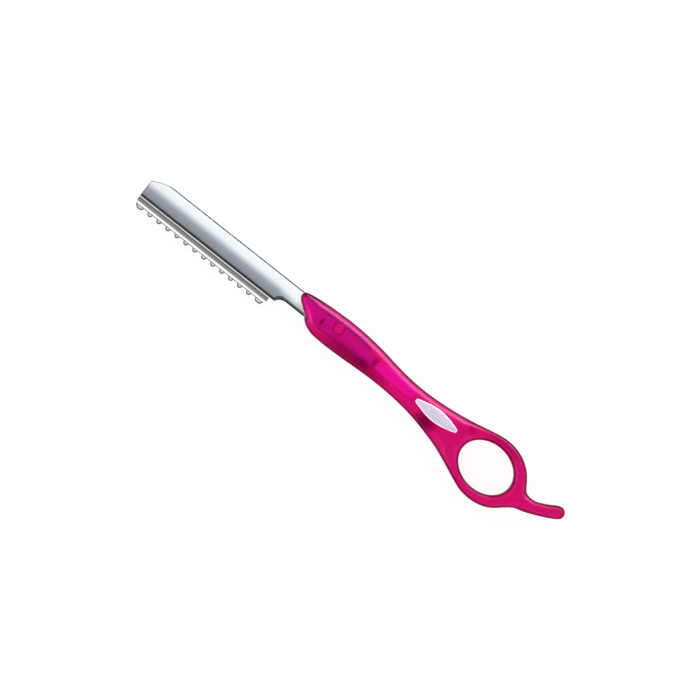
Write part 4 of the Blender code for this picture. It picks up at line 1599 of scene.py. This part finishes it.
@dataclass(frozen=True)
class Label:
    """The oval plate let into the handle's front face. It bears nothing."""

    holder: HolderSizes = HolderSizes()
    length: float = 19.7 * MM
    height: float = 5.3 * MM
    thickness: float = 0.45 * MM
    top: float = 3.55 * MM
    dome: float = 0.06 * MM
    reach: float = 69.3 * MM
    raise_y: float = 3.8 * MM
    end_power: float = 0.5
    shoulder_power: float = 1.55
    gap: float = 0.06 * MM
    rim_share: float = 0.06
    rim_drop: float = 0.08 * MM
    rim_start: float = 0.3
    rim_steps: int = 6
    face_steps: int = 20
    steps: int = 120
    smooth_angle: float = math.radians(35)

    def outline(self, grow: float) -> np.ndarray:
        """An oval with a blunt point at each end: an ellipse whose sine is raised to a growing power.

        Args:
            grow: How far it lies outside the plate.

        Returns:
            An array of x, y about the plate's middle.
        """
        turns = np.arange(self.steps) * 2 * math.pi / self.steps
        sine = np.abs(np.sin(turns))
        across = np.sign(np.sin(turns)) * sine ** (self.end_power + self.shoulder_power * sine)
        along = (self.length / 2 + grow) * np.cos(turns)
        return np.column_stack((along, (self.height / 2 + grow) * across))

    @property
    def centre(self) -> np.ndarray:
        """Where the plate's middle lies."""
        return np.array((self.holder.handle_x + self.reach, self.raise_y))

    def form(self, bench: Bench) -> bpy.types.Object:
        """What the recess is cut with.

        Args:
            bench: Where the razor lies in the frame.

        Returns:
            The cutter.
        """
        loop = self.centre + self.outline(self.gap)
        bottom = self.top - self.dome - self.thickness - self.gap
        return prism("label_form", loop, bottom, self.top + 2 * self.thickness, bench)

    def build(self, bench: Bench) -> bpy.types.Object:
        """Draws the outline in towards the middle, over a low dome with a rounded rim and a flat back.

        The dome falls by the square of the share of the way out, and the rim as a quarter of an ellipse does.

        Args:
            bench: Where the razor lies in the frame.

        Returns:
            The plate's object.
        """
        face_share = 1 - self.rim_share
        turns = np.linspace(self.rim_start, math.pi / 2, self.rim_steps)
        face_shares = np.linspace(0, face_share, self.face_steps)
        shares = np.concatenate((face_shares, 1 - self.rim_share * np.cos(turns)))
        rim = np.clip((shares - face_share) / self.rim_share, 0, 1)
        heights = self.top - self.dome * shares**2 - self.rim_drop * (1 - np.sqrt(1 - rim**2))
        back = np.full(2, self.top - self.dome - self.thickness)
        shares = np.concatenate((shares, (1, 0)))
        z = np.concatenate((heights, back))
        oval = self.outline(0)
        points = stack(
            self.centre[0] + shares[:, None] * oval[:, 0],
            self.centre[1] + shares[:, None] * oval[:, 1],
            z[:, None],
        )
        support = -(oval * inward(oval)).sum(axis=1)
        to_rim = (1 - shares[:, None]) * support
        marks = stack(oval[:, 0], 1 - to_rim / (self.height / 2))
        skin = Skin()
        skin.add(points, grid_quads(len(shares), self.steps, wrap=True), marks)
        plate = skin.build("label_oval", bench)
        smooth(plate, self.smooth_angle)
        return plate

    def dress(self, bench: Bench) -> None:
        """Builds the plate and fits it in silver film."""
        fit(self.build(bench), LABEL_FILM.build(), Slot.LABEL, Body.HANDLE, "label_plate")


@dataclass(frozen=True)
class CartridgeSizes:
    """Sizes of the blade and its two guard strips."""

    length: float = 63.4 * MM
    blade_thickness: float = 0.3 * MM
    blade_width: float = 8.2 * MM
    grind_width: float = 1.2 * MM
    edge_reveal: float = 0.15 * MM
    bond_gap: float = 0.1 * MM
    flange_height: float = 1.4 * MM
    flange_thickness: float = 0.6 * MM
    waist_thickness: float = 0.3 * MM
    groove_thickness: float = 0.1 * MM
    rib_thickness: float = 0.62 * MM
    rib_height: float = 1.5 * MM
    slope_height: float = 1.0 * MM
    edge_thickness: float = 0.33 * MM
    tooth_thickness: float = 0.20 * MM
    guard_drop: float = 0.7 * MM
    tooth_count: int = 14
    tooth_width: float = 2.2 * MM
    tooth_height: float = 1.3 * MM
    end_margin: float = 3.15 * MM
    tip_corner: tuple[float, float] = (2.0 * MM, 2.3 * MM)
    tip_bulge: float = 0.4 * MM
    heel_corner: tuple[float, float] = (1.6 * MM, 2.7 * MM)


@dataclass(frozen=True)
class Cartridge:
    """The replaceable blade between two pressed guard strips with half-round teeth."""

    holder: HolderSizes = HolderSizes()
    sizes: CartridgeSizes = CartridgeSizes()
    tooth_steps: int = 16
    gap_steps: int = 4
    plate_rows: int = 10
    blade_rows: int = 24
    sliver: float = 0.006 * MM
    round_radius: float = 0.12 * MM
    groove_width: float = 0.24 * MM
    rim_width: float = 0.26 * MM
    # Painted shade: a dark band round each tooth's rim, how steeply it reaches full strength, and the shades
    # of rib, waist and lower edge, in place of their dark reflections and shade.
    tooth_shade_width: float = 0.60 * MM
    rim_shade_strength: float = 1.9
    rib_shade: float = 0.38
    waist_shade: float = 0.32
    edge_shade: float = 0.9
    tip_steps: int = 12
    heel_steps: int = 8
    round_steps: int = 5
    tooth_rim_share: float = 0.45
    tooth_reach_share: float = 0.98
    tooth_power: float = 6.0
    guard_angle: float = math.radians(24)
    blade_angle: float = math.radians(4)

    @property
    def rib_y(self) -> float:
        """Top of the guard's rib."""
        return self.holder.lip_y - self.sizes.guard_drop

    @property
    def edge_y(self) -> float:
        """The guard's lower edge between its teeth."""
        return self.rib_y - self.sizes.rib_height - self.sizes.slope_height

    def tooth_centres(self) -> np.ndarray:
        """Places of the teeth, evenly spaced between the end margins."""
        s = self.sizes
        return np.linspace(s.end_margin, s.length - s.end_margin, s.tooth_count)

    def stations(self) -> np.ndarray:
        """Places along the guard, crowded where the teeth start and end.

        Returns:
            Places, each once, in rising order.
        """
        s = self.sizes
        half = s.tooth_width / 2
        places = [np.linspace(0, s.tip_corner[0], self.tip_steps)]
        for centre in self.tooth_centres():
            places.append(eased_steps(centre - half, centre + half, self.tooth_steps))
            places.append(np.linspace(centre + half, centre + half + s.tooth_width, self.gap_steps))
        places.append(np.linspace(s.length - s.heel_corner[0], s.length, self.heel_steps))
        every = np.unique(np.concatenate(places).round(7))
        return every[(every >= 0) & (every <= s.length)]

    def lower_edge(self, x: np.ndarray) -> np.ndarray:
        """The guard's lower outline: half-ellipse teeth, a rounded tip corner and a cut heel corner.

        Args:
            x: Places along the guard.

        Returns:
            Its height at each place.
        """
        s = self.sizes
        bottom = self.edge_y - s.tooth_height
        share = np.abs(x[:, None] - self.tooth_centres()).min(axis=1) / (s.tooth_width / 2)
        line = self.edge_y - s.tooth_height * np.sqrt(np.clip(1 - share**2, 0, 1))
        line = np.where((x < s.end_margin) | (x > s.length - s.end_margin), bottom, line)
        return np.maximum(line, self.corner_line(x))

    def corner_line(self, x: np.ndarray) -> np.ndarray:
        """Height of the rounded tip corner and the cut heel corner, which the blade shares with its guard.

        Args:
            x: Places along the guard.

        Returns:
            The height at each place.
        """
        s = self.sizes
        width, rise = s.tip_corner
        along = np.clip(x / width, 0, 1)
        tip = rise * (1 - along) - s.tip_bulge * 4 * along * (1 - along)
        width, rise = s.heel_corner
        heel = rise * np.clip((x - s.length + width) / width, 0, 1)
        return self.edge_y - s.tooth_height + np.maximum(tip, heel)

    def guard_profile(self) -> np.ndarray:
        """Section of a guard strip above its teeth, from the flange to the slope, as (y, z, painted shade).

        Returns:
            Rows from the top down.
        """
        s = self.sizes
        z = s.blade_thickness / 2 + s.bond_gap
        crease = self.holder.lip_y + self.holder.lip_height
        turn = np.linspace(0, math.pi / 2, self.round_steps)
        r = self.round_radius
        slope_top = self.rib_y - s.rib_height
        corner_y = self.rib_y - r * (1 - np.cos(turn))
        corner_z = z + s.rib_thickness - r * (1 - np.sin(turn))
        # Each row's third number is painted shade: in the groove and round the rib's corner, dimming the
        # waist and rib, and along the lower edge.
        rows = [
            (crease + s.flange_height, z + s.flange_thickness, 0.0),
            (crease + r, z + s.flange_thickness, 0.0),
            (crease, z + s.flange_thickness - r, 0.0),
            (crease - r / 3, z + s.waist_thickness, 0.0),
            (self.holder.lip_y, z + s.waist_thickness, self.waist_shade),
            (self.rib_y + self.groove_width, z + s.groove_thickness, self.waist_shade),
            (self.rib_y + r / 3, z + s.groove_thickness, 1.0),
            *zip(corner_y, corner_z, (*(self.round_steps - 1) * (1.0,), self.edge_shade)),
            (self.rib_y - r - self.groove_width, z + s.rib_thickness, self.rib_shade),
            (slope_top + r / 2, z + s.rib_thickness, self.rib_shade),
            (slope_top - r / 2, z + s.rib_thickness - r / 4, 0.0),
            (self.edge_y + self.rim_width, z + s.edge_thickness + self.rim_width / 4, 0.0),
            (self.edge_y + self.rim_width / 2, z + s.edge_thickness + self.rim_width / 8, self.edge_shade),
            (self.edge_y, z + s.edge_thickness, self.edge_shade),
        ]
        return np.array(rows)

    def guard(self, side: Side, name: str, bench: Bench) -> bpy.types.Object:
        """One guard strip.

        Each row of the section is held above the lower edge by a few slivers, so that rows never meet, and
        the teeth's rows run from the section's foot to the lower edge, with a rim that rolls over.

        Args:
            side: The face of the blade that it lies on.
            name: The object's name.
            bench: Where the razor lies in the frame.

        Returns:
            The strip's object.
        """
        s = self.sizes
        x = self.stations()
        profile = self.guard_profile()
        bottom = np.minimum(self.lower_edge(x), self.rib_y)
        foot = np.maximum(self.edge_y, bottom + self.plate_rows * self.sliver)
        order = np.arange(len(profile))[::-1, None]
        y = np.maximum(profile[:, :1], foot + order * self.sliver)
        moved = y > profile[:, :1] + self.sliver / 2
        z, shade = (
            np.where(moved, np.interp(y, profile[::-1, 0], profile[::-1, column]), profile[:, column, None])
            for column in (1, 2)
        )
        share = np.linspace(0, 1, self.plate_rows + 1)[1:, None]
        plate_y = foot + share * (bottom - foot)
        base = s.blade_thickness / 2 + s.bond_gap
        fall = (self.edge_y - plate_y) / s.tooth_height * (s.edge_thickness - s.tooth_thickness)
        thickness = s.edge_thickness - np.clip(fall, 0, None)
        rolled = np.sqrt(1 - (share * self.tooth_reach_share) ** self.tooth_power)
        plate_z = base + thickness * (self.tooth_rim_share + (1 - self.tooth_rim_share) * rolled)
        steep = np.hypot(1, np.gradient(bottom, x))
        # Painted shade round the teeth's rims, in place of their dark reflections.
        rim = np.clip(self.rim_shade_strength * (1 - (plate_y - bottom) / (self.tooth_shade_width * steep)), 0, 1)
        y = np.concatenate((y, plate_y))
        z = np.concatenate((z, np.broadcast_to(plate_z, plate_y.shape)))
        marks = stack(np.concatenate((shade, rim)), np.zeros(y.shape))
        front = stack(x, y, side.value * z)
        back = stack(x, y, np.array(side.value * base))
        skin = Skin()
        add_shell(skin, front, back, marks)
        strip = skin.build(name, bench)
        smooth(strip, self.guard_angle)
        return strip

    def blade(self, bench: Bench) -> bpy.types.Object:
        """The blade: a flat strip ground to an edge on both faces.

        Args:
            bench: Where the razor lies in the frame.

        Returns:
            The blade's object.
        """
        s = self.sizes
        x = self.stations()
        edge = self.edge_y - s.edge_reveal
        low = np.maximum(edge, self.corner_line(x) + s.edge_reveal)
        rows = np.linspace(0, 1, self.blade_rows)[:, None]
        y = edge + s.blade_width + rows**0.5 * (low - edge - s.blade_width)
        half = s.blade_thickness / 2 * np.clip((y - edge) / s.grind_width, 0, 1)
        skin = Skin()
        add_shell(skin, stack(x, y, half), stack(x, y, -half))
        strip = skin.build("blade_strip", bench)
        smooth(strip, self.blade_angle)
        return strip

    def dress(self, bench: Bench) -> None:
        """Builds the blade in ground steel and a guard strip on each face in pressed steel.

        Args:
            bench: Where the razor lies in the frame.
        """
        fit(self.blade(bench), BLADE_STEEL.build(), Slot.BLADE, Body.CARTRIDGE, "blade")
        pressed = GUARD_STEEL.build()
        for side, name, node in (
            (Side.FRONT, "guard_strip_front", "guard_front"),
            (Side.REAR, "guard_strip_rear", "guard_rear"),
        ):
            fit(self.guard(side, name, bench), pressed, Slot.GUARD, Body.CARTRIDGE, node)


# The studio


@dataclass(frozen=True)
class Softbox:
    """A rectangular lamp that shines at the razor's middle."""

    name: str
    place: tuple[float, float, float]
    size: tuple[float, float]
    brightness: float

    def build(self) -> bpy.types.Object:
        """Makes the lamp. Its power is what gives its face the brightness: pi times area times brightness.

        Returns:
            The lamp.
        """
        data = bpy.data.lights.new(self.name, "AREA")
        data.shape = "RECTANGLE"
        data.size, data.size_y = self.size
        data.energy = math.pi * self.size[0] * self.size[1] * self.brightness
        lamp = add_object(self.name, data)
        lamp.location = self.place
        lamp.rotation_euler = (-Vector(self.place)).to_track_quat("-Z", "Y").to_euler()
        return lamp


@dataclass(frozen=True)
class Room:
    """The room's light, which changes only across the razor, from the side of its teeth to that of its spine.

    Each stop is an angle from straight up, in degrees and positive towards the spine, with the colour there.
    White walls on both sides leave a grey ceiling between them and a dark room below them.
    """

    strength: float = 1.15
    stops: tuple[tuple[float, str], ...] = (
        (-64, "#10141a"), (-54, "#ffffff"), (-15, "#ffffff"), (-9, "#828a93"), (-2, "#868d96"),
        (0.1, "#8e959e"), (2.3, "#bec4cb"), (4.6, "#dde2e8"), (8.6, "#f6f8fa"), (52, "#ffffff"),
        (68, "#50555c"),
    )

    def build(self) -> bpy.types.World:
        """Draws the stops as a colour ramp over the direction's y.

        Returns:
            The world.
        """
        world = bpy.data.worlds.new("studio_room")
        world.use_nodes = True
        tree = world.node_tree
        tree.nodes.clear()
        place = add_node(tree, "ShaderNodeTexCoord")
        split = add_node(tree, "ShaderNodeSeparateXYZ", links={"Vector": place.outputs["Generated"]})
        share = add_node(
            tree, "ShaderNodeMapRange", {"From Min": -1.0, "From Max": 1.0}, {"Value": split.outputs["Y"]}
        )
        ramp = add_node(tree, "ShaderNodeValToRGB", links={"Fac": share.outputs["Result"]})
        ramp.color_ramp.interpolation = "LINEAR"
        elements = ramp.color_ramp.elements
        while len(elements) < len(self.stops):
            elements.new(1.0)
        for element, (angle, colour) in zip(elements, self.stops):
            element.position = (math.sin(math.radians(angle)) + 1) / 2
            element.color = linear(colour)
        back = add_node(
            tree, "ShaderNodeBackground", {"Strength": self.strength}, {"Color": ramp.outputs["Color"]}
        )
        add_node(tree, "ShaderNodeOutputWorld", links={"Surface": back.outputs["Background"]})
        return world


@dataclass(frozen=True)
class Studio:
    """Room, paper, lamps and camera. The camera looks straight down, as the photograph does."""

    frame_width: float = 0.2702
    frame_centre: tuple[float, float] = (-1.93 * MM, 3.09 * MM)
    turn: float = math.radians(38.3)
    camera_height: float = 1.2
    sensor: float = 36.0
    floor_drop: float = 0.3 * MM
    floor_size: float = 8.0
    floor_points: int = 9
    softboxes: tuple[Softbox, ...] = (
        Softbox("left_softbox", (-1.30, 0.35, 1.05), (0.9, 0.9), 0.5),
        Softbox("right_softbox", (1.30, 0.35, 1.05), (0.9, 0.9), 0.5),
        Softbox("front_fill", (-0.87, -0.87, 0.84), (0.60, 0.60), 5.0),
        Softbox("edge_strip", (0.0, 1.50, 0.45), (1.4, 0.3), 24.0),
    )

    def build(self) -> None:
        """Sets up the world, the paper, the lamps and the camera."""
        scene = bpy.context.scene
        scene.view_settings.view_transform = "Standard"
        scene.world = Room().build()
        self.floor()
        for softbox in self.softboxes:
            softbox.build()
        self.camera()

    def floor(self) -> bpy.types.Object:
        """A wide sheet of paper just under the razor.

        Returns:
            The sheet.
        """
        half = self.floor_size / 2
        places = np.linspace(-half, half, self.floor_points)
        points = stack(places[:, None], places, np.array(-self.floor_drop)).reshape(-1, 3)
        mesh = bpy.data.meshes.new("floor")
        mesh.from_pydata(points.tolist(), [], grid_quads(self.floor_points, self.floor_points).tolist())
        mesh.materials.append(PAPER.build())
        return add_object("floor", mesh)

    def camera(self) -> bpy.types.Object:
        """A long lens straight above, turned so that the razor slants down to the right.

        Returns:
            The camera.
        """
        data = bpy.data.cameras.new("camera")
        data.sensor_width = self.sensor
        data.lens = self.sensor * self.camera_height / self.frame_width
        obj = add_object("camera", data)
        obj.location = (*self.frame_centre, self.camera_height)
        obj.rotation_euler = (0, 0, self.turn)
        bpy.context.scene.camera = obj
        return obj


def main() -> None:
    """Builds the studio, then each sub-assembly in order."""
    logging.basicConfig(level=logging.INFO, format="%(name)s: %(message)s")
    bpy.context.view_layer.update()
    bench = Bench.of_frame()
    Studio().build()
    label = Label()
    Handle().dress(bench, label)
    label.dress(bench)
    Holder().dress(bench)
    CorePlate().dress()
    Cartridge().dress(bench)


if __name__ == "__main__":
    main()
